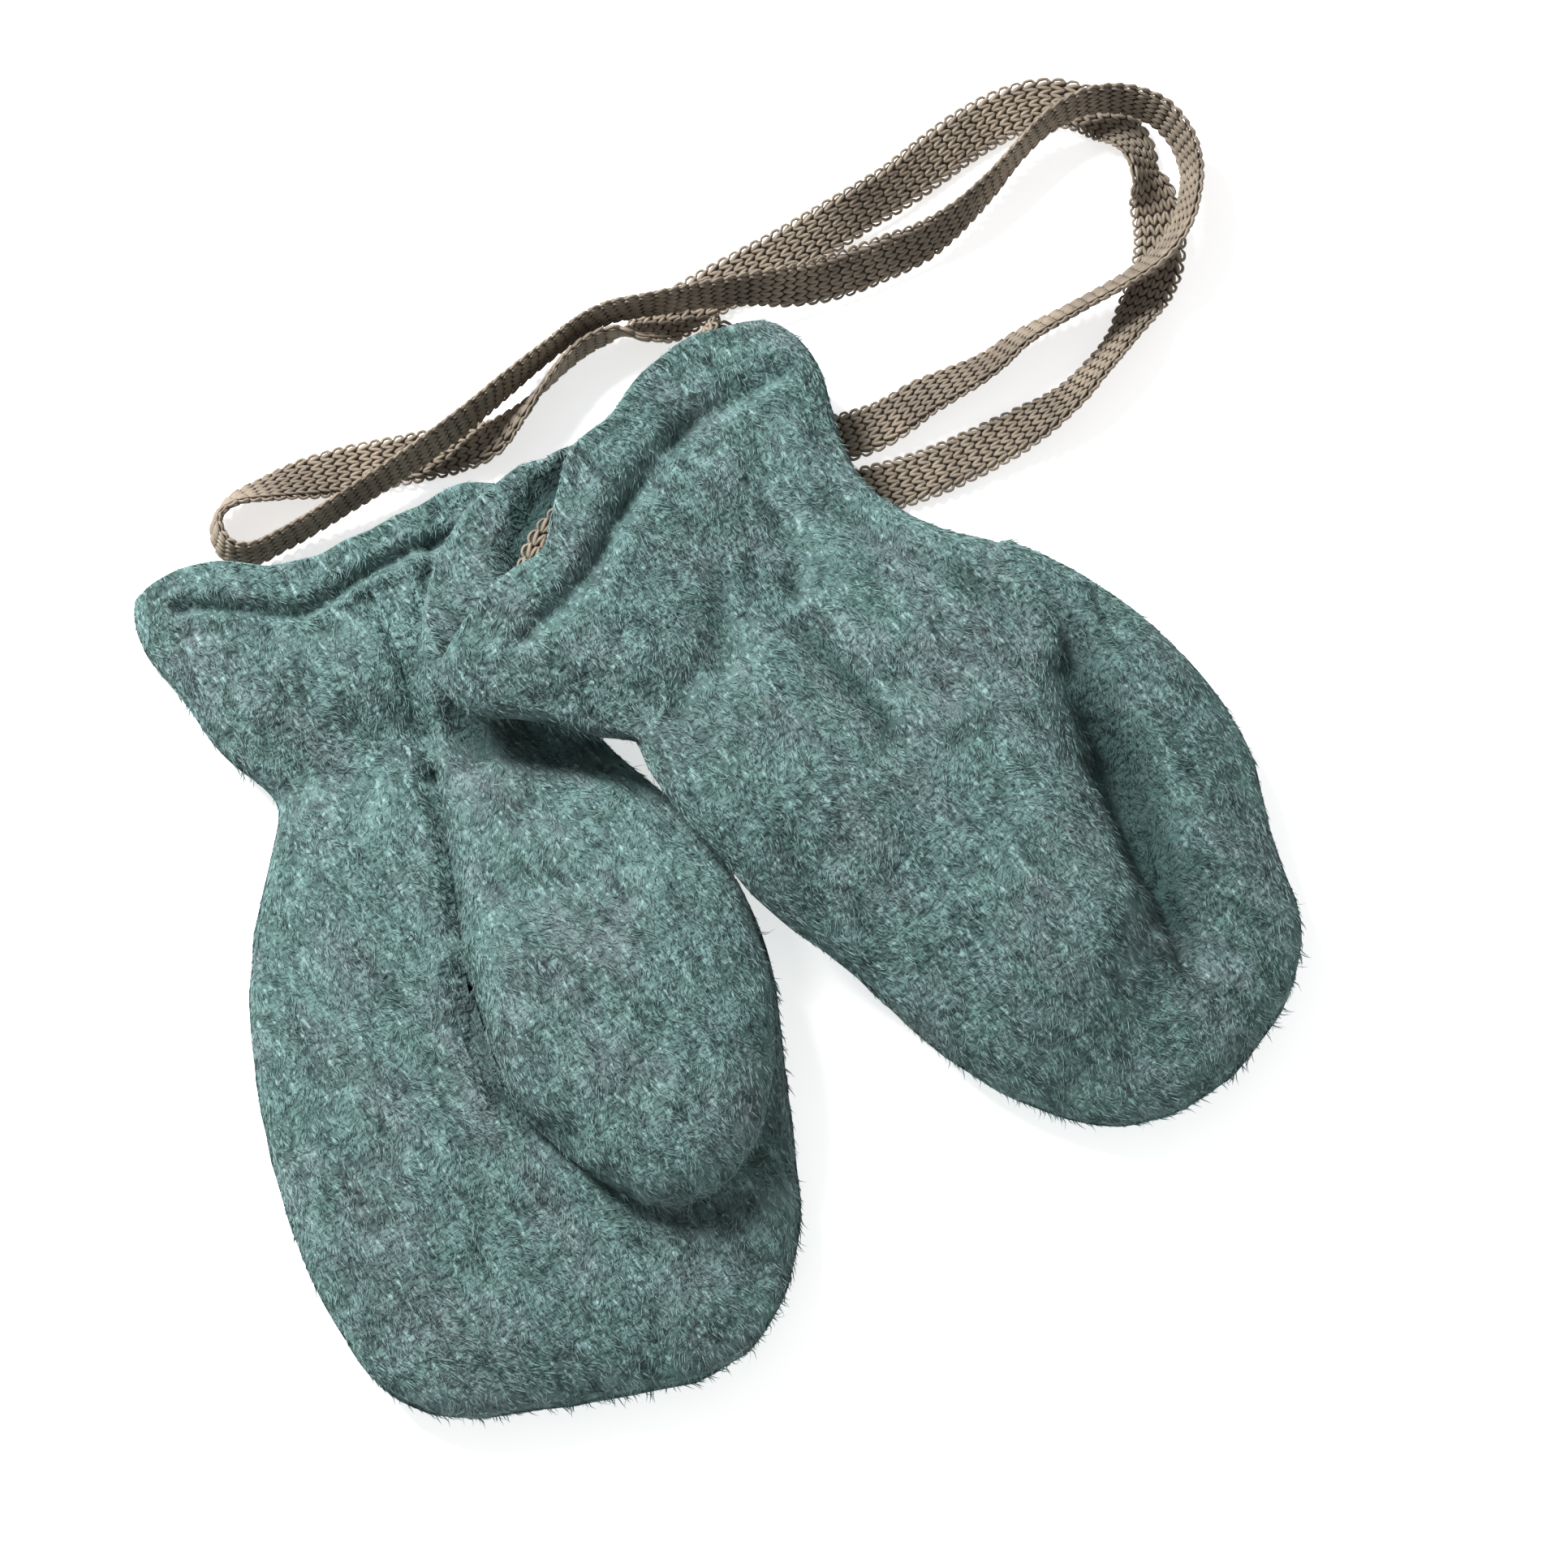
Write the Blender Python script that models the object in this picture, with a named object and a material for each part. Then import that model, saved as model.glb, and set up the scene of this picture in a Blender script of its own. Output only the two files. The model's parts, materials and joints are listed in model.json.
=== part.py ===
"""A pair of baby mittens in thick brushed wool fleece, joined by one flat knitted tape.

The left mitten lies palm up. The right mitten lies across its cuff, back up, with its thumb folded under
it. Each mitten is a back, a palm, a thumb front that runs up to the cuff's hem, and a thumb rear, all hollow
as sewn. The tables are in millimetres and the scene is in metres, +Z up.

Every mitten has a frame of its own: along runs from the cuff's rim to the fingertips, across runs from the
little finger's side to the thumb's side, and the third axis is up.
"""

import math
from typing import NamedTuple

import bmesh
import bpy
from mathutils import Vector

MM = 0.001

# Cloth
WALL = 2.6
HEM_EXTRA = 0.6
HEM_DEPTH = 9.5
SEAM_GAP = 0.3
SEAM_SHARE = 0.47  # height of the side seams, as a share of the mitten's thickness

# Roundness of the edges, as the distance from the edge where the face is level again
TOP_ROUND = 22.0
UNDER_ROUND = 9.0
THUMB_ROUND = 9.0
DOME_POWER = 2.1

# Creases that every mitten has
HEM_GROOVE = 0.9
HEM_GROOVE_WIDTH = 1.3
WRIST = 33.0
WRIST_DRAW = 1.3
WRIST_DRAW_WIDTH = 4.0
PUCKER_DEPTH = 1.5
PUCKER_PITCH = 9.5
PUCKER_REACH = 8.0
PUCKER_SLANT = 0.03
CREASE_FADE = 7.0  # distance from the side seams over which creases fade out
FLOOR_CREASE = 0.5  # share of a crease's depth in a face that lies on the floor

# Where the forms change, along the mitten or across it
HEM_EASE = 2.0
RIM_FADE = 26.0
STRAIGHT_CUFF = (12.0, 30.0)
HINGE_REACH = 19.0
HINGE_SHIFT = 2.0
THUMB_LEAVES = (54.0, 68.0)
THUMB_MARGIN = 7.0
SEWN_ROWS = 4.0
FREE_ROWS = 1.0

EDGE_SEGMENTS = 5
MIDDLE_SEGMENTS = 12
THUMB_EDGE_SEGMENTS = 3
THUMB_MIDDLE_SEGMENTS = 6
WIDEST_EDGE = 0.34  # most of a row's width that its round edge takes

# Tape
TAPE_WIDTH = 9.0
TAPE_THICKNESS = 1.4
TAPE_STEP = 13.0
TAPE_BEND = 30.0
TAPE_FINE = 12

OUTLINE_STEPS = 6
THUMB_RISE = 6.0
THUMB_REST = 0.32  # space between the folded thumb's rear and the palm, as a share of its seam's height
REAR_START = 1.0  # how far beyond the thumb's root its rear starts
REAR_ROUND = 5.0
REAR_RIM = 1.2
INNER_RISE = 0.12
INNER_REACH = 3.0
TOUCHING = 0.02
STEP = 0.05

# The block that leaves the thumb front's place free in the palm
CUTTER_START = -40.0
CUTTER_SIDE = 90.0
CUTTER_LOW = -30.0
CUTTER_HEIGHT = 100.0
CUTTER_SLANT = 2.0

SIDE = 1000.0  # stands for the hand's own thumb-side edge in a thumb's table


class Row(NamedTuple):
    """Two ends of one row across a piece: little finger's side, then thumb's side."""

    along_f: float
    f: float
    along_t: float
    t: float


class ThumbRow(NamedTuple):
    """A row across the thumb's front, the height of its seam over the palm, and its crest over that."""

    along_f: float
    f: float
    along_t: float
    t: float
    seam: float
    crest: float


class Level(NamedTuple):
    """Thickness and height off the floor at the little finger's side (f) and the thumb's side (t)."""

    along: float
    top_f: float
    top_t: float
    base_f: float
    base_t: float
    hinge: float


class Mound(NamedTuple):
    """How the folded thumb lifts the hand that lies on it."""

    along: float
    across: float
    reach: float
    height: float


class Rim(NamedTuple):
    """How far the cuff's rim lies beyond its nominal place: upper wall, then lower wall."""

    across: float
    upper: float
    lower: float


class Trough(NamedTuple):
    """A soft crease in one face, from one end to the other: face is 1 for the upper, -1 for the lower."""

    face: int
    along_a: float
    across_a: float
    along_b: float
    across_b: float
    width: float
    depth: float


class Stop(NamedTuple):
    """A place the tape runs through.

    Lean turns it on edge, in degrees. Turn is the side its width points to: 1 left, -1 right, or 0 at a
    fold, where the width is between its neighbours'.
    """

    x: float
    y: float
    z: float
    lean: float
    turn: int


class Mitten(NamedTuple):
    """One mitten: where its rim's centre lies, where it points, and the tables of its form."""

    name: str
    x: float
    y: float
    heading: float
    palm: int
    rows: list
    levels: list
    mounds: list
    rims: list
    troughs: list
    thumb: list
    root: int


LEFT_ROWS = [
    Row(0.0, -33.5, 0.0, 38.0),
    Row(4.0, -34.0, 4.0, 38.5),
    Row(8.4, -33.0, 8.4, 38.0),
    Row(9.5, -32.6, 9.5, 37.8),
    Row(10.6, -32.2, 10.6, 37.5),
    Row(15.0, -30.0, 15.0, 36.0),
    Row(21.0, -27.3, 21.0, 34.0),
    Row(27.0, -25.0, 27.0, 32.5),
    Row(32.0, -21.5, 32.0, 32.5),
    Row(36.5, -17.3, 36.5, 34.0),
    Row(42.0, -18.8, 42.0, 37.0),
    Row(50.0, -23.0, 50.0, 42.0),
    Row(58.0, -26.5, 58.0, 47.0),
    Row(66.0, -29.0, 66.0, 50.5),
    Row(75.0, -30.7, 75.0, 52.5),
    Row(85.0, -31.6, 85.0, 53.0),
    Row(95.0, -31.8, 95.0, 51.5),
    Row(105.0, -31.2, 105.0, 50.2),
    Row(114.0, -30.0, 114.0, 49.2),
    Row(122.0, -28.0, 122.0, 48.0),
    Row(129.0, -25.6, 129.5, 45.3),
    Row(135.0, -22.6, 135.5, 42.0),
    Row(139.2, -18.2, 140.2, 37.5),
    Row(141.9, -12.0, 143.5, 32.6),
    Row(143.4, -2.0, 145.3, 25.0),
]
LEFT_LEVELS = [
    Level(0.0, 13.2, 12.6, 0.0, 0.0, 0.0),
    Level(15.0, 13.2, 12.4, 0.0, 0.0, 0.0),
    Level(33.0, 12.4, 11.8, 0.0, 0.0, 0.0),
    Level(50.0, 13.4, 12.6, 0.0, 0.0, 0.0),
    Level(75.0, 14.0, 12.6, 0.0, 0.0, 0.0),
    Level(110.0, 14.0, 13.2, 0.0, 0.0, 0.0),
    Level(146.0, 13.4, 13.4, 0.0, 0.0, 0.0),
]
LEFT_RIMS = [
    Rim(-34.0, -1.0, 0.0),
    Rim(-27.0, -3.5, 2.0),
    Rim(-19.0, -3.5, 4.0),
    Rim(-9.0, 0.0, 4.0),
    Rim(-2.0, 0.0, 1.0),
    Rim(6.0, -2.0, -1.0),
    Rim(14.0, -4.0, -2.0),
    Rim(24.0, -6.5, -4.0),
    Rim(38.0, -2.0, -1.0),
]
LEFT_TROUGHS = [
    Trough(1, 4.0, -7.0, 12.0, -5.0, 6.0, 1.5),
    Trough(1, 30.0, 6.0, 40.0, 9.0, 5.0, 2.4),
    Trough(1, 36.0, -10.0, 46.0, -5.0, 5.0, 1.4),
    Trough(1, 60.0, -4.0, 84.0, 0.0, 8.0, 1.4),
    Trough(1, 118.0, 2.0, 130.0, 30.0, 12.0, 1.0),
]
LEFT_THUMB = [
    ThumbRow(0.0, 5.0, 0.0, SIDE, 0.0, 0.0),
    ThumbRow(4.0, 5.1, 4.0, SIDE, 0.0, 0.0),
    ThumbRow(8.4, 5.3, 8.4, SIDE, 0.0, 0.0),
    ThumbRow(9.5, 5.4, 9.5, SIDE, 0.0, 0.0),
    ThumbRow(10.6, 5.5, 10.6, SIDE, 0.0, 0.0),
    ThumbRow(15.0, 5.9, 15.0, SIDE, 0.0, 0.0),
    ThumbRow(21.0, 6.4, 21.0, SIDE, 0.0, 0.2),
    ThumbRow(27.0, 7.0, 27.0, SIDE, 0.0, 0.5),
    ThumbRow(33.0, 7.5, 32.0, SIDE, 0.0, 0.8),
    ThumbRow(38.0, 8.0, 36.5, SIDE, 0.0, 1.1),
    ThumbRow(44.0, 8.0, 42.0, SIDE, 0.0, 1.7),
    ThumbRow(53.0, 7.2, 50.0, SIDE, 0.0, 3.4),
    ThumbRow(62.0, 6.4, 56.5, SIDE, 0.0, 5.6),
    ThumbRow(70.0, 5.6, 62.0, 48.5, 0.0, 7.4),
    ThumbRow(76.0, 5.0, 68.0, 50.6, 1.6, 7.4),
    ThumbRow(81.0, 5.3, 76.0, 51.8, 2.4, 7.4),
    ThumbRow(88.0, 6.0, 86.0, 52.0, 3.0, 6.8),
    ThumbRow(96.0, 7.0, 96.0, 50.8, 3.2, 6.6),
    ThumbRow(103.0, 10.6, 104.5, 47.8, 3.2, 6.4),
    ThumbRow(109.5, 15.4, 111.0, 44.2, 3.2, 6.2),
    ThumbRow(114.5, 19.8, 115.4, 40.4, 3.2, 6.0),
    ThumbRow(117.8, 24.0, 118.0, 36.4, 3.2, 6.0),
    ThumbRow(119.2, 28.2, 119.2, 32.6, 3.2, 6.0),
]

RIGHT_ROWS = [
    Row(-1.0, -38.0, -1.0, 43.5),
    Row(3.0, -40.5, 3.0, 45.0),
    Row(8.4, -41.0, 8.4, 44.4),
    Row(9.5, -40.9, 9.5, 44.0),
    Row(10.6, -40.6, 10.6, 43.6),
    Row(15.0, -38.0, 15.0, 41.4),
    Row(20.0, -34.2, 20.0, 37.5),
    Row(26.0, -31.5, 26.0, 34.0),
    Row(30.0, -29.0, 30.5, 32.3),
    Row(33.5, -26.5, 35.0, 32.5),
    Row(39.0, -29.2, 41.0, 33.0),
    Row(46.0, -31.0, 47.0, 34.6),
    Row(53.0, -31.5, 53.0, 38.4),
    Row(60.0, -32.4, 60.0, 41.8),
    Row(68.0, -33.0, 68.0, 43.2),
    Row(76.0, -31.6, 76.0, 44.6),
    Row(84.0, -30.7, 85.0, 45.0),
    Row(93.0, -31.0, 93.0, 44.6),
    Row(101.0, -31.0, 101.0, 42.6),
    Row(109.0, -29.8, 108.5, 39.5),
    Row(117.0, -28.0, 115.0, 33.8),
    Row(124.0, -25.2, 121.5, 29.6),
    Row(129.5, -22.0, 127.0, 27.0),
    Row(133.8, -17.0, 131.8, 23.4),
    Row(137.0, -10.0, 135.6, 17.2),
    Row(138.7, -3.4, 137.8, 10.6),
]
RIGHT_LEVELS = [
    Level(-1.0, 15.0, 11.0, 13.6, 4.6, 14.0),
    Level(12.0, 14.5, 11.4, 13.6, 4.6, 8.0),
    Level(24.0, 13.6, 12.4, 13.8, 5.0, 0.0),
    Level(34.0, 14.2, 13.4, 14.2, 6.0, -8.0),
    Level(46.0, 13.8, 13.0, 14.6, 8.0, -14.0),
    Level(60.0, 14.0, 13.0, 12.6, 8.6, -14.0),
    Level(74.0, 14.0, 12.8, 7.4, 7.6, 0.0),
    Level(88.0, 14.0, 12.6, 4.0, 3.6, 0.0),
    Level(102.0, 14.0, 13.4, 1.4, 0.8, 0.0),
    Level(116.0, 14.0, 14.0, 0.0, 0.0, 0.0),
    Level(140.0, 13.6, 13.6, 0.0, 0.0, 0.0),
]
RIGHT_MOUNDS = [
    Mound(60.0, 16.0, 34.0, 0.0),
    Mound(74.0, 16.0, 34.0, 0.8),
    Mound(84.0, 14.0, 32.0, 3.4),
    Mound(96.0, 8.0, 29.0, 6.0),
    Mound(108.0, 2.0, 25.0, 7.0),
    Mound(116.0, 1.0, 22.0, 4.6),
    Mound(126.0, 0.0, 20.0, 0.0),
]
RIGHT_RIMS = [
    Rim(-40.0, 3.0, 0.0),
    Rim(-33.0, 2.4, -6.0),
    Rim(-25.0, 1.8, -11.0),
    Rim(-15.0, 2.0, -13.0),
    Rim(-6.0, -1.0, -12.0),
    Rim(2.0, -5.0, -9.0),
    Rim(10.0, -4.4, -5.4),
    Rim(20.0, -6.4, -5.4),
    Rim(30.0, -6.6, -4.6),
    Rim(44.0, 0.0, 0.0),
]
RIGHT_TROUGHS = [
    Trough(1, 70.0, 33.0, 96.0, 19.0, 9.0, 3.4),
    Trough(1, 92.0, 21.0, 118.0, 7.0, 9.0, 3.6),
    Trough(1, 46.0, 10.0, 66.0, 11.0, 6.5, 2.6),
    Trough(1, 62.0, 10.0, 96.0, 0.0, 12.0, 0.9),
    Trough(1, 50.0, 28.0, 58.0, 30.0, 5.0, 1.0),
    Trough(1, 22.0, 20.0, 34.0, 9.0, 5.0, 1.8),
    Trough(1, 22.0, -4.0, 38.0, -10.0, 5.0, 1.6),
    Trough(1, 34.0, -22.0, 48.0, -18.0, 5.0, 1.0),
]
RIGHT_THUMB = [
    ThumbRow(-1.0, 0.0, -1.0, SIDE, 0.0, 0.0),
    ThumbRow(3.0, 0.1, 3.0, SIDE, 0.0, 0.0),
    ThumbRow(8.4, 0.3, 8.4, SIDE, 0.0, 0.0),
    ThumbRow(9.5, 0.4, 9.5, SIDE, 0.0, 0.0),
    ThumbRow(10.6, 0.5, 10.6, SIDE, 0.0, 0.0),
    ThumbRow(15.0, 0.8, 15.0, SIDE, 0.0, 0.0),
    ThumbRow(20.0, 1.2, 20.0, SIDE, 0.0, 0.2),
    ThumbRow(26.0, 1.6, 26.0, SIDE, 0.0, 0.4),
    ThumbRow(31.5, 2.0, 30.5, SIDE, 0.0, 0.7),
    ThumbRow(37.0, 2.0, 35.0, SIDE, 0.0, 1.2),
    ThumbRow(44.0, 1.8, 41.0, SIDE, 0.0, 2.3),
    ThumbRow(52.0, 1.0, 47.0, SIDE, 0.0, 4.0),
    ThumbRow(61.0, -0.6, 53.0, SIDE, 0.0, 5.8),
    ThumbRow(68.0, -2.4, 60.0, 38.4, 0.0, 6.8),
    ThumbRow(74.0, -4.0, 67.0, 37.8, 1.5, 6.2),
    ThumbRow(79.0, -6.0, 74.0, 36.2, 2.2, 5.6),
    ThumbRow(85.0, -8.0, 82.0, 32.6, 2.6, 5.0),
    ThumbRow(91.0, -9.4, 90.0, 28.0, 2.8, 4.8),
    ThumbRow(97.0, -9.6, 97.0, 22.8, 2.8, 4.8),
    ThumbRow(102.6, -7.8, 103.0, 17.0, 2.8, 4.8),
    ThumbRow(106.6, -4.8, 107.0, 11.4, 2.8, 4.8),
    ThumbRow(108.8, -0.8, 108.8, 5.4, 2.8, 4.8),
]

LEFT = Mitten(
    name="left",
    x=-73.3,
    y=35.6,
    heading=-75.9,
    palm=1,
    rows=LEFT_ROWS,
    levels=LEFT_LEVELS,
    mounds=[],
    rims=LEFT_RIMS,
    troughs=LEFT_TROUGHS,
    thumb=LEFT_THUMB,
    root=14,
)
RIGHT = Mitten(
    name="right",
    x=-31.3,
    y=43.3,
    heading=-41.3,
    palm=-1,
    rows=RIGHT_ROWS,
    levels=RIGHT_LEVELS,
    mounds=RIGHT_MOUNDS,
    rims=RIGHT_RIMS,
    troughs=RIGHT_TROUGHS,
    thumb=RIGHT_THUMB,
    root=14,
)


TAPE = [
    Stop(-37.4, 16.8, 20.4, 4.0, 1),
    Stop(-39.0, 24.4, 20.8, 6.0, 1),
    Stop(-37.4, 32.6, 21.0, 8.0, 1),
    Stop(-32.4, 38.6, 20.6, 8.0, 1),
    Stop(-26.0, 44.4, 18.8, 6.0, 1),
    Stop(-20.8, 52.8, 15.0, 6.0, 1),
    Stop(-14.7, 61.1, 11.4, 14.0, 1),
    Stop(-13.2, 66.8, 10.0, 8.0, 1),
    Stop(-13.8, 71.2, 9.8, 0.0, 1),
    Stop(-14.2, 74.8, 6.0, -34.0, 0),
    Stop(-11.3, 74.8, 3.3, 0.0, -1),
    Stop(-6.5, 71.8, 1.8, 0.0, -1),
    Stop(-3.2, 66.4, 0.9, 0.0, -1),
    Stop(-0.8, 61.4, 0.9, 0.0, -1),
    Stop(4.0, 58.6, 0.9, 0.0, -1),
    Stop(10.0, 59.2, 1.0, 2.0, -1),
    Stop(16.7, 61.5, 2.0, 14.0, -1),
    Stop(23.1, 65.5, 3.0, 26.0, -1),
    Stop(32.9, 70.4, 4.2, 44.0, -1),
    Stop(39.4, 75.4, 4.8, 56.0, -1),
    Stop(47.9, 80.2, 5.4, 62.0, -1),
    Stop(55.8, 84.5, 6.4, 62.0, -1),
    Stop(61.6, 88.5, 7.1, 62.0, -1),
    Stop(65.4, 93.5, 7.2, 64.0, -1),
    Stop(67.3, 99.4, 6.9, 67.0, -1),
    Stop(67.7, 105.1, 6.4, 70.0, -1),
    Stop(66.2, 110.2, 6.4, 72.0, -1),
    Stop(63.1, 114.1, 6.8, 74.0, -1),
    Stop(58.7, 116.3, 7.2, 78.0, -1),
    Stop(53.8, 116.9, 7.2, 80.0, -1),
    Stop(49.4, 116.0, 7.1, 82.0, -1),
    Stop(45.4, 113.8, 6.8, 84.0, -1),
    Stop(42.1, 111.3, 5.9, 86.0, -1),
    Stop(38.4, 107.3, 5.3, 86.0, -1),
    Stop(34.3, 102.2, 5.0, 80.0, -1),
    Stop(29.3, 97.0, 4.9, 73.0, -1),
    Stop(23.3, 92.5, 4.6, 61.0, -1),
    Stop(16.8, 89.6, 4.3, 52.0, -1),
    Stop(9.0, 86.4, 4.4, 50.0, -1),
    Stop(2.4, 84.5, 5.2, 58.0, -1),
    Stop(-3.8, 83.3, 6.9, 70.0, -1),
    Stop(-10.2, 82.3, 7.4, 78.0, -1),
    Stop(-16.2, 81.3, 7.4, 83.0, -1),
    Stop(-22.4, 79.8, 8.3, 86.0, -1),
    Stop(-28.8, 78.8, 7.2, 87.0, -1),
    Stop(-34.0, 76.6, 5.7, 87.0, -1),
    Stop(-39.7, 72.3, 5.0, 87.0, -1),
    Stop(-44.8, 67.4, 6.1, 84.0, -1),
    Stop(-50.2, 62.0, 7.3, 82.0, -1),
    Stop(-55.7, 57.4, 7.1, 81.0, -1),
    Stop(-61.1, 53.3, 6.8, 81.0, -1),
    Stop(-66.4, 49.5, 6.7, 82.0, -1),
    Stop(-71.9, 46.0, 6.1, 84.0, -1),
    Stop(-77.3, 42.7, 5.3, 85.0, -1),
    Stop(-82.3, 39.8, 5.0, 85.0, -1),
    Stop(-86.6, 37.7, 5.0, 83.0, -1),
    Stop(-90.3, 38.0, 4.9, 78.0, -1),
    Stop(-92.5, 40.8, 4.9, 76.0, -1),
    Stop(-92.5, 44.2, 4.8, 74.0, -1),
    Stop(-89.5, 47.3, 4.6, 60.0, -1),
    Stop(-83.6, 49.6, 3.6, 40.0, -1),
    Stop(-77.1, 51.9, 2.0, 16.0, -1),
    Stop(-70.8, 53.6, 1.15, 2.0, -1),
    Stop(-65.0, 54.8, 1.0, 0.0, -1),
    Stop(-59.6, 55.9, 1.0, 0.0, -1),
    Stop(-54.2, 57.1, 1.25, 3.0, -1),
    Stop(-48.3, 58.3, 2.9, 28.0, -1),
    Stop(-43.9, 61.9, 4.4, 57.0, -1),
    Stop(-39.8, 66.5, 4.95, 78.0, -1),
    Stop(-36.1, 70.9, 5.0, 87.0, -1),
    Stop(-32.0, 74.3, 5.0, 88.0, -1),
    Stop(-27.9, 76.0, 5.0, 82.0, -1),
    Stop(-24.3, 76.4, 4.0, 52.0, -1),
    Stop(-21.1, 78.2, 2.3, 18.0, -1),
    Stop(-18.0, 80.6, 1.3, 2.0, -1),
    Stop(-14.4, 83.2, 1.15, 0.0, -1),
    Stop(-9.7, 86.1, 1.15, 0.0, -1),
    Stop(-4.6, 88.7, 1.6, -7.0, -1),
    Stop(1.1, 91.7, 2.0, -16.0, -1),
    Stop(6.2, 94.6, 3.0, -29.0, -1),
    Stop(11.9, 98.1, 3.8, -40.0, -1),
    Stop(18.1, 102.2, 3.6, -38.0, -1),
    Stop(23.7, 106.8, 2.9, -28.0, -1),
    Stop(30.1, 112.0, 2.4, -20.0, -1),
    Stop(36.7, 116.1, 2.0, -14.0, -1),
    Stop(43.4, 118.5, 1.3, -4.0, -1),
    Stop(49.2, 118.0, 1.05, 0.0, -1),
    Stop(54.2, 115.4, 1.2, 3.0, -1),
    Stop(58.3, 110.5, 3.2, 34.0, -1),
    Stop(60.2, 104.9, 4.2, 50.0, -1),
    Stop(61.6, 100.5, 2.1, 13.0, -1),
    Stop(62.6, 95.6, 1.2, 0.0, -1),
    Stop(62.3, 90.1, 1.15, 0.0, -1),
    Stop(60.3, 84.0, 2.2, -18.0, -1),
    Stop(56.6, 76.8, 4.1, -48.0, -1),
    Stop(51.7, 70.4, 4.2, -52.0, -1),
    Stop(45.7, 64.3, 3.6, -40.0, -1),
    Stop(36.4, 58.8, 1.9, -14.0, -1),
    Stop(23.1, 52.6, 1.2, -3.0, -1),
    Stop(9.0, 48.8, 0.9, 0.0, -1),
    Stop(-1.0, 48.2, 0.9, 0.0, -1),
    Stop(-11.0, 48.6, 0.9, 0.0, -1),
    Stop(-21.0, 49.2, 0.9, 0.0, -1),
    Stop(-29.6, 49.2, 1.3, 0.0, -1),
    Stop(-36.9, 48.4, 2.9, 0.0, -1),
]


class Form:
    """A mitten's tables with its outlines worked out: the hand's, the thumb's, and the thumb's free part."""

    def __init__(self, mitten):
        self.mitten = mitten
        self.hand = smooth_line(outline_of(mitten.rows))
        side = smooth_line([Vector((row.along_t, row.t)) for row in mitten.rows])
        self.thumb_rows = [
            row._replace(t=place_on(side, row.along_t)) if row.t == SIDE else row for row in mitten.thumb
        ]
        self.thumb = smooth_line(outline_of(self.thumb_rows))
        self.free_thumb = self.thumb[mitten.root * OUTLINE_STEPS :]


def clear_scene():
    for item in list(bpy.data.objects):
        bpy.data.objects.remove(item, do_unlink=True)


def smooth(low, high, value):
    share = min(max((value - low) / (high - low), 0.0), 1.0)
    return share * share * (3.0 - 2.0 * share)


def mix(low, high, share):
    return low + (high - low) * share


def curve_point(before, start, end, after, share):
    """A point on the smooth curve through four neighbouring points, between the middle two."""
    return 0.5 * (
        2.0 * start
        + (end - before) * share
        + (2.0 * before - 5.0 * start + 4.0 * end - after) * share**2
        + (3.0 * start - before - 3.0 * end + after) * share**3
    )


def smooth_line(points, steps=None):
    """The smooth curve through a line of points, with so many steps from each to the next."""
    count = steps or OUTLINE_STEPS
    ends = [points[0] * 2.0 - points[1]] + list(points) + [points[-1] * 2.0 - points[-2]]
    line = []
    for before, start, end, after in zip(ends, ends[1:], ends[2:], ends[3:]):
        line += [curve_point(before, start, end, after, step / count) for step in range(count)]
    return line + [points[-1]]


def dome(distance, reach):
    """Rise from 0 at an edge to 1 at reach from it, upright at the edge."""
    left = max(1.0 - distance / reach, 0.0)
    return (1.0 - left**DOME_POWER) ** (1.0 / DOME_POWER)


def lean_of(distance, *rounds):
    """How far the cloth's outward direction leans from upright: its level and upright parts.

    Each of the rounds is the reach and the rise of one rounding that starts at the same edge.
    """
    if distance < TOUCHING:
        return 1.0, 0.0
    slope = sum(rise * (dome(distance + STEP, reach) - dome(distance, reach)) / STEP for reach, rise in rounds)
    size = math.hypot(slope, 1.0)
    return slope / size, 1.0 / size


def look_up(table, place, column):
    """A column of a table at a place between its rows, eased from row to row."""
    if place <= table[0][0]:
        return table[0][column]
    for low, high in zip(table, table[1:]):
        if place <= high[0]:
            return mix(low[column], high[column], smooth(low[0], high[0], place))
    return table[-1][column]


def nearest(outline, point):
    """Distance from a point to an open outline, and the direction from there into the piece."""
    best = None
    touching = Vector((0.0, 0.0))
    for start, end in zip(outline, outline[1:]):
        run = end - start
        share = min(max((point - start).dot(run) / run.length_squared, 0.0), 1.0)
        away = point - (start + run * share)
        if away.length < TOUCHING:
            touching += Vector((-run.y, run.x)).normalized()
        if best is None or away.length < best.length:
            best = away
    if touching.length > 0.0:
        return 0.0, touching.normalized()
    return best.length, best.normalized()


def outline_of(rows):
    """Little finger's side from the rim to the tip, then back along the thumb's side."""
    there = [Vector((row.along_f, row.f)) for row in rows]
    back = [Vector((row.along_t, row.t)) for row in reversed(rows)]
    return there + back


def place_on(line, along):
    """Place across of a line of points, at a place along."""
    for low, high in zip(line, line[1:]):
        if low.x <= along <= high.x:
            return mix(low.y, high.y, (along - low.x) / (high.x - low.x))
    return line[-1].y


def side_edge(mitten, along):
    """Place of the hand's thumb-side edge."""
    for low, high in zip(mitten.rows, mitten.rows[1:]):
        if along <= high.along_t:
            share = (along - low.along_t) / (high.along_t - low.along_t)
            return mix(low.t, high.t, share)
    return mitten.rows[-1].t


def finger_edge(mitten, along):
    """Place of the hand's little-finger-side edge."""
    for low, high in zip(mitten.rows, mitten.rows[1:]):
        if along <= high.along_f:
            share = (along - low.along_f) / (high.along_f - low.along_f)
            return mix(low.f, high.f, share)
    return mitten.rows[-1].f


def mound(mitten, along, across):
    """Extra height over the folded thumb."""
    if not mitten.mounds:
        return 0.0
    middle = look_up(mitten.mounds, along, 1)
    reach = look_up(mitten.mounds, along, 2)
    height = look_up(mitten.mounds, along, 3)
    return height * math.exp(-(((across - middle) / reach) ** 4))


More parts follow.
